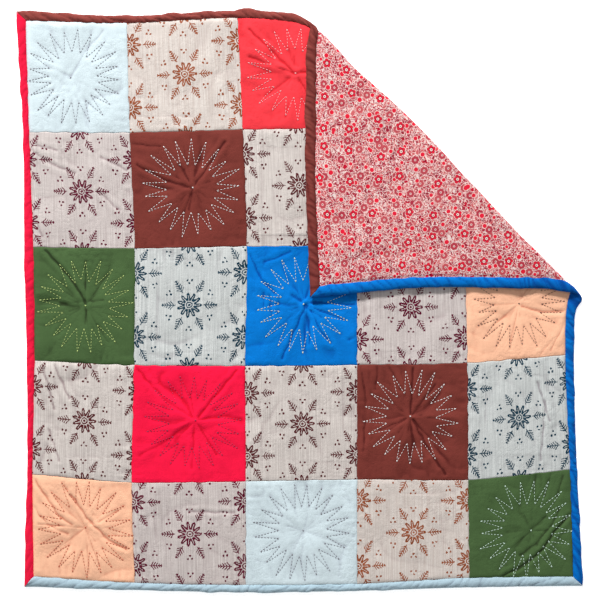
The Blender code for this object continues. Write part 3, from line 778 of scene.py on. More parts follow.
def add_piece(name, points, faces, material, cloth=None, loft=None):
    """A named mesh from arrays: faces is a list of index arrays, one for each number of corners.

    cloth holds the place of each point on its own cut of cloth, in metres, and loft the shade and light
    painted on it: from 0, the deepest painted shade, in a crease, over 0.5 in the flat to 1, painted light,
    on a ridge. Both are for the materials.
    """
    mesh = bpy.data.meshes.new(name)
    corners = np.concatenate([part.ravel() for part in faces]).astype(np.int32)
    sizes = np.concatenate([np.full(len(part), part.shape[1]) for part in faces])
    starts = np.concatenate(([0], np.cumsum(sizes)[:-1])).astype(np.int32)
    mesh.vertices.add(len(points))
    mesh.vertices.foreach_set("co", (points - ORIGIN).astype(np.float32).ravel())
    mesh.loops.add(len(corners))
    mesh.loops.foreach_set("vertex_index", corners)
    mesh.polygons.add(len(sizes))
    mesh.polygons.foreach_set("loop_start", starts)
    mesh.update(calc_edges=True)
    mesh.validate()
    if cloth is not None:
        layer = mesh.uv_layers.new(name="Cloth")
        layer.uv.foreach_set("vector", cloth[corners].astype(np.float32).ravel())
    # The attribute by which the materials paint shade into creases and light onto ridges.
    if loft is not None:
        values = mesh.attributes.new("Loft", "FLOAT", "POINT")
        values.data.foreach_set("value", loft.astype(np.float32))
    mesh.shade_smooth()
    mesh.materials.append(material)
    item = in_scene(name, mesh)
    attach(item, "root")
    return item


def grid_faces(rows, columns, first=0):
    """Quads over a grid of points that runs row by row."""
    start = np.arange(rows - 1)[:, None] * columns + np.arange(columns - 1)[None, :] + first
    return np.stack((start, start + 1, start + columns + 1, start + columns), axis=-1).reshape(-1, 4)


def rim_of(rows, columns):
    """The indices round a grid's edge, anticlockwise."""
    index = np.arange(rows * columns).reshape(rows, columns)
    return np.concatenate((index[0, :-1], index[:-1, -1], index[-1, :0:-1], index[:0:-1, 0]))


# The underside of a square, which is hidden, has one point for this many of the face's.
UNDER_STRIDE = 12


def add_square(column, row, material, stride):
    """One square of the patchwork with the filling under it, as a closed pad."""
    spans = [slice(k * FINE_PASS["cells"], (k + 1) * FINE_PASS["cells"] + 1, stride) for k in (row, column)]
    grid = Face.points[spans[0], spans[1]]
    rows, columns = grid.shape[:2]
    top = grid.reshape(-1, 3)
    faces = grid_faces(rows, columns)
    coarse = grid[::UNDER_STRIDE // stride, ::UNDER_STRIDE // stride]
    under = coarse.reshape(-1, 3).copy()
    under[:, 2] = UNDER_FACE + np.where(outside_seam(evened(under[:, :2])) > -LIFT_START, EDGE_LIFT, 0.0)
    under_faces = grid_faces(coarse.shape[0], coarse.shape[1], len(top))[:, ::-1]
    upper, lower = rim_of(rows, columns), rim_of(*coarse.shape[:2]) + len(top)
    step = len(upper) // len(lower)
    walls = []
    for i in range(len(lower)):
        c0, c1 = lower[i], lower[(i + 1) % len(lower)]
        fine = [upper[(i * step + k) % len(upper)] for k in range(step + 1)]
        half = step // 2
        walls += [(c0, fine[k + 1], fine[k]) for k in range(half)]
        walls += [(c1, fine[k + 1], fine[k]) for k in range(half, step)]
        walls.append((c0, c1, fine[half]))
    plane = np.vstack((top, under))
    points = folded(plane[:, :2], plane[:, 2])
    # Each square is cut so that the middle of a printed daisy lies within 5 mm of its own.
    local = evened(plane[:, :2]) - (COLUMN_SEAMS[column], ROW_SEAMS[row])
    draw = np.random.default_rng(500 + column * 10 + row)
    middle = local.mean(axis=0) + draw.uniform(-5, 5, 2) * MM
    repeats = 2 * draw.integers(1, 9, 2) + (0.5, 0.5)
    cloth = local - middle + repeats * (PRINT_ACROSS * MM, PRINT_UP * MM)
    # The face's painted shade and light, and none on its hidden underside.
    loft = np.concatenate((Face.loft[spans[0], spans[1]].ravel(), np.full(len(under), 0.5)))
    name = "square_%s_%d_%d" % (material.name.split(".")[0], column + 1, row + 1)
    piece = add_piece(name, points, [np.vstack((faces, under_faces)), np.array(walls)], material, cloth, loft)
    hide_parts("quilt_top")


def add_threads(name, middles, radius, material, sides=5):
    """Short rounded threads: middles holds the line of each, all with as many points."""
    count, steps = middles.shape[:2]
    ahead = np.gradient(middles, axis=1)
    ahead /= np.linalg.norm(ahead, axis=2, keepdims=True)
    across = np.cross(ahead, (0.0, 0.0, 1.0))
    across /= np.linalg.norm(across, axis=2, keepdims=True)
    above = np.cross(across, ahead)
    width = np.ones(steps)
    width[[0, -1]] = 0.5
    turns = 2 * math.pi * np.arange(sides) / sides
    points = [middles + radius * width[None, :, None] * (math.cos(turn) * across + math.sin(turn) * above)
              for turn in turns]
    rings = np.stack(points, axis=2).reshape(-1, 3)
    base = (np.arange(count)[:, None, None] * steps + np.arange(steps - 1)[None, :, None]) * sides
    k = np.arange(sides)[None, None, :]
    following = (k + 1) % sides
    quads = np.stack((base + k, base + sides + k, base + sides + following, base + following), axis=-1)
    first = (np.arange(count) * steps * sides)[:, None] + np.arange(sides)[None, :]
    last = first + (steps - 1) * sides
    caps = np.vstack((first, last[:, ::-1]))
    return add_piece(name, rings, [quads.reshape(-1, 4), caps], material)


def stitch_lines(loop, draw):
    """The middles of the running stitches along a path, as a few even places each."""
    lines = []
    for a, b in zip(loop, loop[1:]):
        length = np.linalg.norm(b - a)
        count = max(2, int(round(length / STITCH_SPACING)))
        for k in range(count):
            start = (k + 0.16 + draw.uniform(-0.06, 0.06)) / count
            end = (k + 0.80 + draw.uniform(-0.08, 0.08)) / count
            lines.append([a + share * (b - a) for share in np.linspace(start, end, len(STITCH_RISE))])
    return np.array(lines)


def add_star(square, sizes, material):
    """The running stitches of one star and the knotted tie at its centre."""
    draw = star_draw(square)
    lines = stitch_lines(star_loop(square), draw)
    tie = star_tie(square)
    turn, shares = draw.uniform(0, math.pi), np.linspace(-1, 1, len(STITCH_RISE))
    knots = [[tie + share * ray(turn + angle, TIE_HALF_LENGTH) for share in shares] for angle in TIE_ANGLES]
    lines = np.concatenate((lines, knots))
    on_face = Face.at(lines.reshape(-1, 2))
    radius = sizes.thread_width / 2
    lift = np.tile(STITCH_RISE * radius, len(lines))
    points = folded(on_face[:, :2], on_face[:, 2] + lift + STITCH_LIFT).reshape(*lines.shape[:2], 3)
    name = "stitches_%d_%d" % (square["column"] + 1, square["row"] + 1)
    piece = add_threads(name, points, radius, material)


def row_ends(loop, past):
    """Where the line at one distance past the bend enters and leaves a loop on the cloth's plane."""
    _, along, _ = bend_axes()
    beyond = past_bend(loop) - past
    after = np.roll(beyond, -1)
    cut = np.nonzero(beyond * after < 0)[0]
    share = (beyond[cut] / (beyond[cut] - after[cut]))[:, None]
    found = loop[cut] * (1 - share) + np.roll(loop, -1, axis=0)[cut] * share
    order = np.argsort(found @ along)
    return found[order[0]], found[order[-1]]


# The backing's rows of points under the quilt, round the bend and on the turned corner, and its columns.
BACKING_ROWS = (60, 36, 150)
BACKING_COLUMNS = 230

# How the backing puffs out on the turned corner, in mm: evenly and in waves, less the puckers at its binding.
BACKING_LOFT = 1.9
BACKING_WAVES = 0.6
BACKING_PUCKERS = 0.9
BACKING_PUCKER_REACH = 22 * MM


def backing_rows(past):
    """Distances past the bend of the backing's rows: close round the bend and on the turned corner."""
    turn = math.pi * BEND_RADIUS
    under, round_bend, corner = BACKING_ROWS
    return np.concatenate((
        np.linspace(past.min() + 2 * MM, -12 * MM, under),
        np.linspace(-8 * MM, turn + 8 * MM, round_bend),
        np.linspace(turn + 12 * MM, past.max() - 2 * MM, corner),
    ))


def add_backing(material):
    """The printed backing, one sheet that goes round the bend and shows on the turned-back corner."""
    loop = cloth_outline(CLOTH_EDGE)
    rows = backing_rows(past_bend(loop))
    share = np.linspace(0, 1, BACKING_COLUMNS)[:, None]
    plane = np.vstack([a + share * (b - a) for a, b in (row_ends(loop, row) for row in rows)])
    even = evened(plane)
    outside = outside_seam(even)
    lift = EDGE_LIFT * np.clip((outside + LIFT_START) / (LIFT_START - LIFT_END), 0.0, 1.0)
    show = turned(plane) * np.clip((-outside - 2 * MM) / (30 * MM), 0.0, 1.0)
    loft = BACKING_LOFT + BACKING_WAVES * soft_noise(plane, 60 * MM, 21)
    loft = loft + np.abs(soft_noise(plane, 80 * MM, 22))
    folds = np.abs(soft_noise(plane, 12 * MM, 23))
    loft -= BACKING_PUCKERS * (0.8 - folds) * np.exp(outside / BACKING_PUCKER_REACH)
    crease = np.zeros(len(plane))
    for depth, points in BACKING_CREASES:
        away = distance_to_path(plane, np.array(points) * MM)
        crease = np.maximum(crease, depth * np.exp(-away / CREASE_SOFTNESS))
    height = lift - show * np.clip(loft - crease, -0.5, 5.0) * MM
    points = folded(plane, height)
    faces = grid_faces(len(rows), BACKING_COLUMNS)[:, ::-1]
    # Shade is painted into the backing's creases.
    piece = add_piece("backing_sheet", points, [faces], material, even + 1.0, 0.5 - 0.2 * crease)
    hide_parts("backing")


# A binding's section, from its front seam over the roll and back to its reverse seam, then round the slot
# that holds the cloth's edge: the share of its width, the height in mm, how far it may be crinkled, and how
# far in mm it puffs out on the reverse, where the turned corner shows it.
BINDING_SECTION = (
    (-0.02, 5.3, 0.0, 0.0),
    (0.03, 6.9, 0.2, 0.0),
    (0.10, 8.3, 0.6, 0.0),
    (0.20, 9.4, 0.9, 0.0),
    (0.32, 10.1, 1.0, 0.0),
    (0.45, 10.4, 1.0, 0.0),
    (0.58, 10.2, 1.0, 0.0),
    (0.70, 9.5, 1.0, 0.0),
    (0.82, 8.5, 1.0, 0.0),
    (0.92, 7.0, 0.9, 0.0),
    (0.98, 5.4, 0.7, 0.0),
    (1.00, 3.8, 0.5, 0.0),
    (0.97, 2.2, 0.3, 0.3),
    (0.91, 0.9, 0.1, 0.8),
    (0.80, 0.1, 0.0, 1.6),
    (0.62, 0.0, 0.0, 2.6),
    (0.42, 0.0, 0.0, 3.2),
    (0.22, 0.0, 0.0, 3.2),
    (0.02, 0.0, 0.0, 2.4),
    (-0.12, 0.1, 0.0, 1.0),
    (-0.19, 0.6, 0.0, 0.0),
    (-0.16, 1.2, 0.0, 0.0),
    (0.78, 1.2, 0.0, 0.0),
    (0.78, 5.2, 0.0, 0.0),
)

# The right side's roll, pulled taut below the bend, is painted in shade there: how deep, below which place
# along the side, and over what distance it comes on.
TAUT_SHADE = {"depth": 0.34, "place": 1.06, "fade": 0.26}

# The roll stands out where the bend crumples it: its place along the right side, how far it reaches along it
# and stands out, and how deep the shade painted on it is.
BEND_BULGE = {"place": 0.730, "reach": 22 * MM, "rise": 14.0 * MM, "shade": 0.36}

# The distance between a roll's rings, and the height below which a point counts as on the reverse.
BINDING_STEP = 3 * MM
REVERSE_TOP = 3 * MM

# A twisted roll's broad and fine creases: how far apart they are, how far they slant over the roll's width,
# how far they stray and over what distance, how sharp they are, and their share of the whole.
TWISTS = (
    {"apart": 42 * MM, "slant": 0.75, "stray": 0.95, "size": 60 * MM, "sharpness": 0.38, "share": 0.66},
    {"apart": 19 * MM, "slant": 0.9, "stray": 1.1, "size": 30 * MM, "sharpness": 0.5, "share": 0.34},
)

# The level of the twist at which a roll neither swells nor sinks, the share of its width outside which it
# swells outward, and how much of its swelling goes there.
TWIST_MIDDLE = 0.75
SWELL_START = 0.45
SWELL_OUTWARD = 0.7


def rope(along, across, seed):
    """Creases that run slantwise over a roll, as if it were slightly twisted: 0 in a crease, 1 between."""
    plane = np.column_stack((along, across * 0.02))
    total = np.zeros(len(along))
    for k, twist in enumerate(TWISTS):
        phase = math.pi * (along / twist["apart"] + twist["slant"] * across)
        phase = phase + twist["stray"] * soft_noise(plane, twist["size"], seed + k)
        total += twist["share"] * np.abs(np.sin(phase)) ** twist["sharpness"]
    return total


def add_binding(side, material):
    """One binding strip, rolled round the edge, crinkled along its length and mitred at both ends."""
    low, high = side_knots(side)[[0, -1]]
    stations = np.linspace(low + MITRE_GAP, high - MITRE_GAP, int((high - low) / BINDING_STEP))
    ring = len(BINDING_SECTION)
    share, height, crinkle, puff = np.tile(np.transpose(BINDING_SECTION), len(stations))
    height = height * MM
    place = np.repeat(stations, ring)
    seed = 40 + 3 * sorted(BINDINGS).index(side)
    fold = rope(place, share, seed)
    outward = share * side_width(side, place)
    swell = crinkle * (fold - TWIST_MIDDLE) * BINDINGS[side]["creases"] * MM
    outward += swell * np.clip(share - SWELL_START, 0, 1) * SWELL_OUTWARD
    in_line = np.column_stack((place, 0 * place))
    ripple = soft_noise(in_line, 38 * MM, seed + 5)
    outward += np.clip(share, 0, 1) * (share < 0.99) * ripple * BINDINGS[side]["waves"] * MM
    inner = soft_noise(in_line, 20 * MM, seed + 7)
    outward -= (share < 0.12) * (height > REVERSE_TOP) * np.clip(0.7 + inner, 0, 2.5) * MM
    outward += (share < 0.0) * (height < 1 * MM) * inner * 0.8 * MM
    if side == "right":
        nearness = np.exp(-((place - BEND_BULGE["place"]) / BEND_BULGE["reach"]) ** 2)
        outward += np.clip(share, 0, 1) ** 2 * nearness * BEND_BULGE["rise"]
    height += swell * np.where(share > 0.9, 0.5, 1.0)
    plane = laid(on_side(side, leaned(side, place, share), outward))
    over = turned(plane)
    behind = rope(place * 1.5, share, seed + 9)
    height -= over * (puff * MM) * (0.1 + 1.35 * behind)
    # The reverse is painted in shade, deeper in the creases of its own twist.
    fold = np.where(height < REVERSE_TOP, behind - BINDINGS[side]["reverse_shade"], fold)
    points = folded(plane, height)
    faces = [grid_faces(len(stations), ring)]
    start = np.arange(len(stations) - 1) * ring
    faces.append(np.column_stack((start + ring - 1, start, start + ring, start + 2 * ring - 1)))
    quads = np.vstack(faces)
    ends = [np.arange(ring), np.arange(len(points) - ring, len(points))[::-1]]
    if side in ("foot", "right"):
        quads = quads[:, ::-1]
        ends = [end[::-1] for end in ends]
    if side == "right":
        # The taut part of the right roll is painted in shade.
        fold = fold - TAUT_SHADE["depth"] * np.clip((TAUT_SHADE["place"] - place) / TAUT_SHADE["fade"], 0, 1)
        # The bulge is painted in shade too.
        fold = fold - BEND_BULGE["shade"] * nearness
    cloth = np.column_stack((place, share * 24 * MM + np.where(height < REVERSE_TOP, 40 * MM, 0)))
    # The loft paints shade into the roll's twist creases, and a touch of light between them.
    piece = add_piece("binding_" + side + "_roll", points, [quads, np.array(ends)[:, ::-1]], material,
                      cloth + 1.0, np.clip(0.95 * fold - 0.14, 0.0, 0.6))
    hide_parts("binding_" + side)


# --- Materials --------------------------------------------------------------------------------------------

def linear(colour):
    """An sRGB hex colour as linear red, green and blue."""
    channels = [int(colour[i:i + 2], 16) / 255 for i in (0, 2, 4)]
    return [c / 12.92 if c <= 0.04045 else ((c + 0.055) / 1.055) ** 2.4 for c in channels]


def plain_material(name):
    """A new material with its node tree and its shader."""
    material = bpy.data.materials.new(name)
    material.use_nodes = True
    return material, material.node_tree, material.node_tree.nodes["Principled BSDF"]


def give(shader, values):
    """Sets a shader's own sockets to values that are the same all over the surface."""
    for key, value in values.items():
        shader.inputs[key].default_value = value


def add(tree, kind, settings=None, inputs=None):
    """Adds a node to a tree, with its settings, and its inputs as numbers, colours or links."""
    made = tree.nodes.new(kind)
    for name, value in (settings or {}).items():
        setattr(made, name, value)
    for key, value in (inputs or {}).items():
        value = getattr(value, "socket", value)
        if isinstance(value, bpy.types.NodeSocket):
            tree.links.new(value, made.inputs[key])
        elif made.inputs[key].type == "RGBA":
            made.inputs[key].default_value = (*value, 1.0)
        else:
            made.inputs[key].default_value = value
    return made


def arithmetic(operation, backwards=False):
    """A method that works out one step of arithmetic between values."""
    def result(*values):
        tree = values[0].socket.id_data
        order = values[::-1] if backwards else values
        return Value(add(tree, "ShaderNodeMath", {"operation": operation}, dict(enumerate(order))).outputs[0])
    return result


class Value:
    """A number that a material works out at each point of a surface."""

    def __init__(self, socket):
        self.socket = socket

    __add__ = __radd__ = arithmetic("ADD")
    __mul__ = arithmetic("MULTIPLY")
    __sub__ = arithmetic("SUBTRACT")
    __rsub__ = arithmetic("SUBTRACT", backwards=True)
    __truediv__ = arithmetic("DIVIDE")
    __pow__ = arithmetic("POWER")
    __lt__, __gt__ = arithmetic("LESS_THAN"), arithmetic("GREATER_THAN")
    __abs__ = arithmetic("ABSOLUTE")
    cos, sin, floor, fraction, root = map(arithmetic, ("COSINE", "SINE", "FLOOR", "FRACT", "SQRT"))
    at_most, at_least, angle = arithmetic("MINIMUM"), arithmetic("MAXIMUM"), arithmetic("ARCTAN2")

    def held(self, low, high):
        """This number, held between two others."""
        return self.at_least(low).at_most(high)


class Cloth:
    """A material's node tree, with the places on its own cut of cloth, in mm."""

    def __init__(self, name):
        self.material, self.tree, self.shader = plain_material(name)
        source = add(self.tree, "ShaderNodeUVMap", {"uv_map": "Cloth"})
        scaled = add(self.tree, "ShaderNodeVectorMath", {"operation": "SCALE"},
                     {0: source.outputs[0], "Scale": 1000.0})
        self.place = scaled.outputs[0]
        parts = add(self.tree, "ShaderNodeSeparateXYZ", {}, {0: self.place})
        self.x, self.y = Value(parts.outputs[0]), Value(parts.outputs[1])

    def drift(self, size, detail=2.0, stretch=(1.0, 1.0)):
        """Soft random variation whose patches are size mm across, or stretched along the cloth."""
        scale = (1.0 / (size * stretch[0]), 1.0 / (size * stretch[1]), 1.0)
        at = add(self.tree, "ShaderNodeVectorMath", {"operation": "MULTIPLY"}, {0: self.place, 1: scale})
        made = add(self.tree, "ShaderNodeTexNoise", {"noise_dimensions": "2D"},
                   {"Vector": at.outputs[0], "Scale": 1.0, "Detail": detail, "Roughness": 0.55})
        return Value(made.outputs[0])

    def scattered(self, size, jitter, place=None):
        """One centre in each cell of size mm: the distance and angle from it, and two random numbers."""
        place = place or self.place
        cells = add(self.tree, "ShaderNodeTexVoronoi", {"voronoi_dimensions": "2D"},
                    {"Vector": place, "Scale": 1.0 / size, "Randomness": jitter})
        gap = add(self.tree, "ShaderNodeVectorMath", {"operation": "SUBTRACT"},
                  {0: place, 1: cells.outputs["Position"]})
        parts = add(self.tree, "ShaderNodeSeparateXYZ", {}, {0: gap.outputs[0]})
        lot = add(self.tree, "ShaderNodeSeparateColor", {}, {0: cells.outputs["Color"]})
        u, v = Value(parts.outputs[0]), Value(parts.outputs[1])
        return (u * u + v * v).root(), v.angle(u), Value(lot.outputs[0]), Value(lot.outputs[1])

    def over(self, share, below, above, blend="MIX"):
        """One dye or ink over another, by a share from 0 to 1."""
        made = add(self.tree, "ShaderNodeMix", {"data_type": "RGBA", "blend_type": blend},
                   {0: share, 6: below, 7: above})
        return made.outputs[2]


def tinted(colour, factor):
    """A colour made lighter or darker."""
    return [min(1.0, channel * factor) for channel in colour]


def blended(first, second, share):
    """A colour part of the way from one to another."""
    return [a + share * (b - a) for a, b in zip(first, second)]


# Plain-woven shirting cotton. Its threads are drawn every 1.2 mm, coarser than the real 0.4 mm, so that
# they show; slubs run both ways. It is matt, with a little sheen where fibres stand off the face.
WEAVE = 1.2
COTTON_FINISH = {
    "Roughness": 0.86,
    "IOR": 1.47,
    "Specular IOR Level": 0.09,
    "Sheen Weight": 0.02,
    "Sheen Roughness": 0.5,
}

# The tint of the shade painted into creases: a little deeper and redder than the dye.
PAINTED_CREASE_SHADE = (0.72, 0.50, 0.64)


def woven(name, colour_of):
    """A matt woven cotton, whose dyed or printed colour colour_of(cloth) gives."""
    cloth = Cloth(name)
    colour = colour_of(cloth)
    loft = Value(add(cloth.tree, "ShaderNodeAttribute", {"attribute_name": "Loft"}).outputs[2])
    threads = (cloth.x * (2 * math.pi / WEAVE)).sin() * (cloth.y * (2 * math.pi / WEAVE)).sin()
    warp, weft = cloth.drift(1.8, 1.0, (1.0, 16.0)), cloth.drift(1.8, 1.0, (16.0, 1.0))
    wear = cloth.drift(46.0, 4.0)
    tone = threads * 0.05 + warp * 0.10 + weft * 0.08 + wear * 0.14 + 0.84
    # Painted shade: where the loft is low, the colour is painted deeper and redder, as light that meets
    # the dye more than once in a crease would make it.
    shade = (0.5 - loft).held(0.0, 0.5)
    deep = cloth.over(1.0, colour, cloth.over(0.5, colour, PAINTED_CREASE_SHADE), "MULTIPLY")
    colour = cloth.over(shade * 1.5, colour, deep)
    # Painted shade darkens the creases, and painted light makes the ridges a little lighter.
    tone = tone - shade * 0.4 + (loft - 0.5).held(0.0, 0.4) * 0.2
    grey = add(cloth.tree, "ShaderNodeCombineColor", {}, {0: tone, 1: tone, 2: tone}).outputs[0]
    cloth.tree.links.new(cloth.over(1.0, colour, grey, "MULTIPLY"), cloth.shader.inputs["Base Color"])
    # Cotton keeps small sharp crumples: ridges 15 to 40 mm long, here and there.
    crumple = abs(cloth.drift(24.0, 3.0) - 0.5) ** 0.6
    where = (cloth.drift(80.0, 1.0) * 3.0 - 1.0).held(0.15, 1.0)
    relief = threads * 0.04 + warp * 0.09 + cloth.drift(7.0, 3.0) * 0.5 + crumple * where * 2.6
    bump = add(cloth.tree, "ShaderNodeBump", {}, {"Strength": 0.6, "Distance": MM, "Height": relief})
    cloth.tree.links.new(bump.outputs[0], cloth.shader.inputs["Normal"])
    give(cloth.shader, COTTON_FINISH)
    return cloth.material


def dyed(colour):
    """Plain piece-dyed cotton: one colour that drifts a little lighter and darker over the cloth."""
    def colour_of(cloth):
        share = (cloth.drift(60.0) * 1.6 - 0.3).held(0.0, 1.0)
        return cloth.over(share, tinted(colour, 0.93), tinted(colour, 1.07))
    return colour_of


# The hand-carved block, in mm: daisies set half a drop apart, each inside a ring of fern sprigs.
PRINT_ACROSS = 146.0
PRINT_UP = 168.0
PETALS = 11
PETAL_ROOT = 11.5
PETAL_WIDEST = 20.0
PETAL_TIP = 33.0
HEART_RING = 7.4
HEART_DOT = 3.2
SPRIGS = 6
SPRIG_ROOT = 40.0
SPRIG_LENGTH = 34.0
SPRIG_HALF_WIDTH = 14.0
LEAFLET_SPACING = 6.8
DOTS_PLACE = 57.0


def block_printed(ground, ink):
    """Cotton printed by hand with a carved block, its ink thin in places, on a warp-striped ground."""
    def colour_of(cloth):
        wander, shake = cloth.drift(22.0), cloth.drift(5.0)
        px = cloth.x + (wander - 0.5) * 6.0 + (shake - 0.5) * 1.6
        py = cloth.y + (shake - 0.5) * 5.0 - (wander - 0.5) * 3.0
        column = (px / PRINT_ACROSS).floor()
        u = px - (column + 0.5) * PRINT_ACROSS
        v = (py / PRINT_UP + column * 0.5).fraction() * PRINT_UP - PRINT_UP / 2
        r, a = (u * u + v * v).root(), v.angle(u)
        beside = abs((a * (PETALS / 2)).sin()) * r * (2.0 / PETALS)
        from_widest = (r - PETAL_WIDEST) / (PETAL_TIP - PETAL_WIDEST)
        round_end = (1.0 - from_widest ** 4.0).at_least(0.0).root()
        inside = (beside < round_end * (r * 0.06 + 2.3)) * (beside > 0.75 - (r > 27.0) * 2.0)
        petals = inside * (r > PETAL_ROOT)
        heart = (abs(r - HEART_RING) < 1.5).at_least(r < HEART_DOT)
        turn = 2 * math.pi / SPRIGS
        b = ((a / turn + 0.5).fraction() - 0.5) * turn
        along, off = r * b.cos() - SPRIG_ROOT, abs(r * b.sin())
        leaf = (along > 0.0) * (along < SPRIG_LENGTH)
        leaf = leaf * (off < SPRIG_HALF_WIDTH - along * 0.33) * (off < along * 1.1 + 3.0)
        fern = leaf * (((along - off * 0.8) / LEAFLET_SPACING).fraction() < 0.46)
        stem = (off < 1.3) * (along > -3.0) * (along < SPRIG_LENGTH)
        b = ((a / turn).fraction() - 0.5) * turn
        along, off = r * b.cos() - DOTS_PLACE, abs(r * b.sin())
        dots = ((along * along + off * off) < 8.0).at_least(
            ((along - 8.0) ** 2.0 + (off - 6.0) ** 2.0) < 7.0)
        printed = petals.at_least(heart).at_least(fern).at_least(stem).at_least(dots)
        # The block picks up its ink unevenly, so that the print breaks up into specks 2 to 4 mm across.
        strong = cloth.drift(34.0, 1.0)
        cover = printed * (cloth.drift(2.6, 3.0) * 3.4 - 0.2).held(0.55, 1.0) * (strong * 0.3 + 0.85)
        stripe = (cloth.drift(2.1, 2.0, (1.0, 60.0)) * 2.6 - 0.8).held(0.0, 1.0)
        bare = cloth.over(stripe, tinted(blended(ground, ink, 0.16), 0.95), tinted(ground, 1.10))
        return cloth.over(cover.at_most(1.0), bare, cloth.over(strong, tinted(ink, 1.15), tinted(ink, 0.7)))
    return colour_of


# The lawn's print: how far apart its motifs lie, in mm.
LEAF_SPACING = 8.2
BLOOM_SPACING = 46.0
BUD_SPACING = 37.0
FLOWER_SPACING = 74.0


def ditsy(colours):
    """Printed cotton lawn: small flowers, buds and leaves crowded together on white."""
    def colour_of(cloth):
        def rings(below, r, *inks):
            """Rounds of ink over what lies below, the widest first: the reach and ink of each."""
            for reach, ink in inks:
                below = cloth.over(r < reach, below, colours[ink])
            return below

        # Leaves and petals 8 mm across, packed close and drawn out of round, with thin white gaps.
        sway = {0: cloth.x + (cloth.drift(13.0) - 0.5) * 22.0, 1: cloth.y + (cloth.drift(10.0) - 0.5) * 20.0}
        swayed = add(cloth.tree, "ShaderNodeCombineXYZ", {}, sway).outputs[0]
        r, _, lot, other = cloth.scattered(LEAF_SPACING, 1.0, swayed)
        edge = add(cloth.tree, "ShaderNodeTexVoronoi",
                   {"voronoi_dimensions": "2D", "feature": "DISTANCE_TO_EDGE"},
                   {"Vector": swayed, "Scale": 1 / LEAF_SPACING, "Randomness": 1.0})
        result = cloth.over(other > 0.40, colours["blush"], colours["rose"])
        result = cloth.over(other > 0.88, result, colours["crimson"])
        result = cloth.over(Value(edge.outputs[0]) < 0.06 + lot * 0.08, result, colours["white"])
        result = cloth.over((r < 1.5) * (lot < 0.30), result, colours["maroon"])
        result = cloth.over((r < 1.3) * (lot > 0.75), result, colours["white"])
        # Round blooms in rings, 24 mm across, some rose and some pale.
        r, a, lot, _ = cloth.scattered(BLOOM_SPACING, 0.9)
        scallop = (a * 7.0).sin() * 0.8
        result = rings(result, r, (scallop + 11.3, "white"))
        bloom = cloth.over(lot * 0.8, colours["blush"], colours["rose"])
        result = cloth.over(r < scallop + 10.4, result, bloom)
        result = cloth.over((abs(r - 6.2) < 1.5) * 0.5, result, colours["rose"])
        result = rings(result, r, (2.8, "white"), (1.4, "maroon"))
        # Red buds, 11 mm across, with a white edge.
        r, a, lot, _ = cloth.scattered(BUD_SPACING, 1.0)
        reach = (a + lot * 6.0).sin() * 1.3 + lot * 2.2 + 4.2
        result = rings(result, r, (reach + 1.2, "white"), (reach, "red"))
        # Open flowers of five round petals, 24 mm across, white-hearted.
        r, a, lot, _ = cloth.scattered(FLOWER_SPACING, 0.45)
        petal = abs((a * 2.5 + lot * 6.0).cos()) ** 0.5
        reach = petal * 4.6 + 7.6
        result = rings(result, r, (reach + 1.2, "white"), (reach, "crimson"))
        result = cloth.over((r < reach - 1.6) * (r > 6.4), result, colours["red"])
        result = cloth.over((petal < 0.5) * (r < reach), result, colours["maroon"])
        return rings(result, r, (3.8, "white"), (1.4, "maroon"))
    return colour_of


def spun_thread(name, colour):
    """Mercerised cotton thread of two plies: a faint gloss, and shade painted between its plies."""
    material, tree, shader = plain_material(name)
    place = add(tree, "ShaderNodeTexCoord").outputs["Object"]
    noise = add(tree, "ShaderNodeTexNoise", {}, {"Vector": place, "Scale": 900.0, "Detail": 1.0})
    ply = Value(noise.outputs[0])
    share = (ply * 1.8 - 0.4).held(0.0, 1.0)
    shade = add(tree, "ShaderNodeMix", {"data_type": "RGBA"},
                {0: share, 6: tinted(colour, 0.8), 7: tinted(colour, 1.08)})
    tree.links.new(shade.outputs[2], shader.inputs["Base Color"])
    bump = add(tree, "ShaderNodeBump", {}, {"Strength": 0.4, "Distance": 0.3 * MM, "Height": ply})
    tree.links.new(bump.outputs[0], shader.inputs["Normal"])
    give(shader, {"Roughness": 0.6})
    return material


# The light table's top: its tooth, and how strongly it glows.
ACRYLIC_FINISH = {"Roughness": 0.9, "IOR": 1.49, "Emission Strength": 0.60}


def lit_acrylic(name, colour):
    """Opal cast acrylic, the top of a light table lit from below: white, nearly matt, and pale in shade."""
    material, tree, shader = plain_material(name)
    place = add(tree, "ShaderNodeTexCoord").outputs["Object"]
    tooth = add(tree, "ShaderNodeTexNoise", {}, {"Vector": place, "Scale": 400.0, "Detail": 2.0})
    bump = add(tree, "ShaderNodeBump", {},
               {"Strength": 0.05, "Distance": 0.2 * MM, "Height": tooth.outputs[0]})
    tree.links.new(bump.outputs[0], shader.inputs["Normal"])
    give(shader, {"Base Color": (*colour, 1.0), "Emission Color": (*colour, 1.0), **ACRYLIC_FINISH})
    return material


# --- The add-on: its settings, operators and panel --------------------------------------------------------

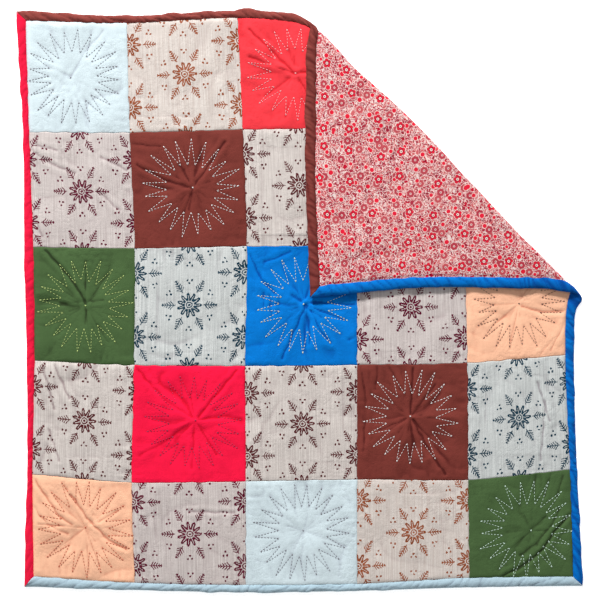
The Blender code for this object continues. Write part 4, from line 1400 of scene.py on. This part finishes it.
COLOURS = {
    "red": ("Red cotton", "F81743"),
    # The red of the square near the head, painted lighter and paler as if more light fell on it.
    "scarlet": ("Scarlet cotton", "EE3C45"),
    "brown": ("Brown cotton", "77362F"),
    "green": ("Green cotton", "48613A"),
    "blue": ("Blue cotton", "0074CC"),
    "peach": ("Peach cotton", "FABF9D"),
    "pale_blue": ("Pale blue cotton", "CEDDE2"),
    "ground_rust": ("Rust print's ground", "D2CAC3"),
    "ground_burgundy": ("Burgundy print's ground", "CAC1BD"),
    "ground_maroon": ("Maroon print's ground", "CFC7C1"),
    "ground_teal": ("Teal print's ground", "C8CBC9"),
    "ink_rust": ("Rust ink", "985030"),
    "ink_burgundy": ("Burgundy ink", "60072A"),
    "ink_maroon": ("Maroon ink", "5A2226"),
    "ink_teal": ("Teal ink", "183C4E"),
    "binding_red": ("Red binding", "E81A40"),
    "binding_brown": ("Brown binding", "843F39"),
    "binding_blue": ("Blue binding", "0070C6"),
    "binding_pale_blue": ("Pale blue binding", "A9C1CD"),
    "print_white": ("Backing's white", "E7D3CE"),
    "print_crimson": ("Backing's crimson", "C01230"),
    "print_red": ("Backing's red", "DE2038"),
    "print_rose": ("Backing's rose", "AC2C40"),
    "print_blush": ("Backing's blush", "CA6064"),
    "print_maroon": ("Backing's maroon", "6E1424"),
    "thread_white": ("White thread", "FFFAF6"),
    "thread_blush": ("Blush thread", "F6C3C8"),
    "thread_cream": ("Cream thread", "E4E9C4"),
    "thread_lime": ("Lime thread", "C4D987"),
    "thread_mint": ("Mint thread", "D3ECDC"),
    "thread_slate": ("Slate thread", "8C8A92"),
    "thread_umber": ("Umber thread", "6B4A42"),
    "thread_rust": ("Rust thread", "BC5236"),
    "thread_mauve": ("Mauve thread", "B02C5C"),
    "acrylic": ("Table's opal acrylic", "FFFFFF"),
}

# What each square is cut from, a row of squares a line from the foot up.
SQUARE_CLOTHS = (
    ("peach", "burgundy", "pale_blue", "rust", "green"),
    ("maroon", "red", "maroon", "brown", "teal"),
    ("green", "teal", "blue", "burgundy", "peach"),
    ("burgundy", "brown", "maroon", "pale_blue", "burgundy"),
    ("pale_blue", "rust", "scarlet", "teal", "green"),
)

# The squares under the turned corner, column and row, which have one point for this many of the face's.
HIDDEN_SQUARES = ((3, 4), (4, 4), (3, 3), (4, 3))
HIDDEN_STRIDE = 3

# The camera looks straight down: the middle of its view on the cloth's plane, the width it sees, its height
# and how far it sees, in metres.
VIEW_MIDDLE = (0.7049, 0.7447)
VIEW_WIDTH = 1.59
CAMERA_HEIGHT = 3.6
CAMERA_REACH = 100.0

# The floor reaches far past the view and lies just under the quilt. The light comes low from beyond the
# head, a little from the left, with a wide and weak one above that keeps the shadows pale.
FLOOR_REACH = 40.0
FLOOR_DROP = 0.4 * MM
WORLD_LIGHT = 0.30
LIGHTS = {
    "soft_key": {"place": (-2.20, 6.90, 4.62), "size": 1.5, "power": 955.0},
    "soft_fill": {"place": (0.6, 0.6, 3.6), "size": 2.6, "power": 14.0},
}


class QuiltColours(bpy.types.PropertyGroup):
    """The colours of the quilt's cloths, inks and threads."""

    __annotations__ = {
        key: bpy.props.FloatVectorProperty(name=label, description=label + ", as dyed or printed",
                                           subtype="COLOR", size=3, min=0.0, max=1.0, default=linear(colour))
        for key, (label, colour) in COLOURS.items()
    }

    def of(self, key):
        """One of the colours as plain numbers."""
        return list(getattr(self, key))


class QuiltSizes(bpy.types.PropertyGroup):
    """The sizes that a maker would change."""

    thread_width: bpy.props.FloatProperty(
        name="Thread width", description="Width of the quilting thread", unit="LENGTH", default=1.45 * MM)


def once(name, make, *settings):
    """The material of a name, made the first time that it is asked for."""
    return bpy.data.materials.get(name) or make(name, *settings)


def cotton(name):
    """The material of one cloth, printed or plain."""
    colours = bpy.context.scene.quilt_colours
    if "ink_" + name in COLOURS:
        colour_of = block_printed(colours.of("ground_" + name), colours.of("ink_" + name))
    else:
        colour_of = dyed(colours.of(name))
    return once(name + "_cotton", woven, colour_of)


class QUILT_OT_squares(bpy.types.Operator):
    """Make the patchwork's squares"""

    bl_idname = "quilt.squares"
    bl_label = "Squares"

    def execute(self, context):
        Face.ready()
        for row, names in enumerate(SQUARE_CLOTHS):
            for column, name in enumerate(names):
                stride = HIDDEN_STRIDE if (column, row) in HIDDEN_SQUARES else 1
                add_square(column, row, cotton(name), stride)
        return {"FINISHED"}


class QUILT_OT_threads(bpy.types.Operator):
    """Stitch the stars and tie their centres"""

    bl_idname = "quilt.threads"
    bl_label = "Stars"

    def execute(self, context):
        Face.ready()
        scene = context.scene
        for square in PLAIN_SQUARES:
            name = square["thread"]
            add_star(square, scene.quilt_sizes, once(name, spun_thread, scene.quilt_colours.of(name)))
        return {"FINISHED"}


class QUILT_OT_backing(bpy.types.Operator):
    """Lay the printed backing"""

    bl_idname = "quilt.backing"
    bl_label = "Backing"

    def execute(self, context):
        inks = ("white", "crimson", "red", "rose", "blush", "maroon")
        palette = {ink: context.scene.quilt_colours.of("print_" + ink) for ink in inks}
        add_backing(woven("ditsy_lawn", ditsy(palette)))
        return {"FINISHED"}


class QUILT_OT_bindings(bpy.types.Operator):
    """Roll the four bindings round the edges"""

    bl_idname = "quilt.bindings"
    bl_label = "Bindings"

    def execute(self, context):
        for side, binding in BINDINGS.items():
            add_binding(side, cotton("binding_" + binding["dye"]))
        return {"FINISHED"}


class QUILT_OT_stage(bpy.types.Operator):
    """Set the floor, the soft light and the camera above"""

    bl_idname = "quilt.stage"
    bl_label = "Stage"

    def execute(self, context):
        scene = context.scene
        mesh = bpy.data.meshes.new("floor")
        corners = [(x * FLOOR_REACH, y * FLOOR_REACH, 0) for x, y in ((-1, -1), (1, -1), (1, 1), (-1, 1))]
        mesh.from_pydata(corners, [], [(0, 1, 2, 3)])
        mesh.materials.append(lit_acrylic("opal_acrylic", scene.quilt_colours.of("acrylic")))
        floor = in_scene("floor", mesh, (0.0, 0.0, -FLOOR_DROP))
        world = bpy.data.worlds.new("studio")
        world.use_nodes = True
        give(world.node_tree.nodes["Background"], {"Color": (1.0, 1.0, 1.0, 1.0), "Strength": WORLD_LIGHT})
        scene.world = world
        for name, settings in LIGHTS.items():
            light = bpy.data.lights.new(name, "AREA")
            light.shape = "DISK"
            light.size = settings["size"]
            light.energy = settings["power"]
            x, y, z = settings["place"]
            lamp = in_scene(name, light, (x, y, z))
            lamp.rotation_euler = (math.atan2(math.hypot(x, y), z), 0.0, math.atan2(x, -y))
        camera = bpy.data.cameras.new("camera")
        camera.sensor_fit = "HORIZONTAL"
        camera.lens = camera.sensor_width * CAMERA_HEIGHT / VIEW_WIDTH
        camera.clip_end = CAMERA_REACH
        eye = (VIEW_MIDDLE[0] - ORIGIN[0], VIEW_MIDDLE[1] - ORIGIN[1], CAMERA_HEIGHT)
        scene.camera = in_scene("camera", camera, eye)
        scene.view_settings.view_transform = "Standard"
        return {"FINISHED"}


class QUILT_PT_panel(bpy.types.Panel):
    """The quilt's operators and settings"""

    bl_label = "Quilt"
    bl_space_type = "VIEW_3D"
    bl_region_type = "UI"
    bl_category = "Quilt"

    def draw(self, context):
        for operator in OPERATORS:
            self.layout.operator(operator.bl_idname)
        self.layout.prop(context.scene.quilt_sizes, "thread_width")
        for key in COLOURS:
            self.layout.prop(context.scene.quilt_colours, key)


OPERATORS = (QUILT_OT_stage, QUILT_OT_squares, QUILT_OT_threads, QUILT_OT_backing, QUILT_OT_bindings)
CLASSES = (QuiltColours, QuiltSizes, *OPERATORS, QUILT_PT_panel)


def register():
    """Adds the add-on's classes to Blender and its settings to the scene."""
    for made in CLASSES:
        bpy.utils.register_class(made)
    bpy.types.Scene.quilt_colours = bpy.props.PointerProperty(type=QuiltColours)
    bpy.types.Scene.quilt_sizes = bpy.props.PointerProperty(type=QuiltSizes)


def unregister():
    """Takes them away again."""
    del bpy.types.Scene.quilt_sizes
    del bpy.types.Scene.quilt_colours
    for made in reversed(CLASSES):
        bpy.utils.unregister_class(made)


def main():
    """Builds the whole quilt on its stage."""
    register()
    bpy.ops.quilt.stage()
    bpy.ops.quilt.squares()
    bpy.ops.quilt.threads()
    bpy.ops.quilt.backing()
    bpy.ops.quilt.bindings()


if __name__ == "__main__":
    main()
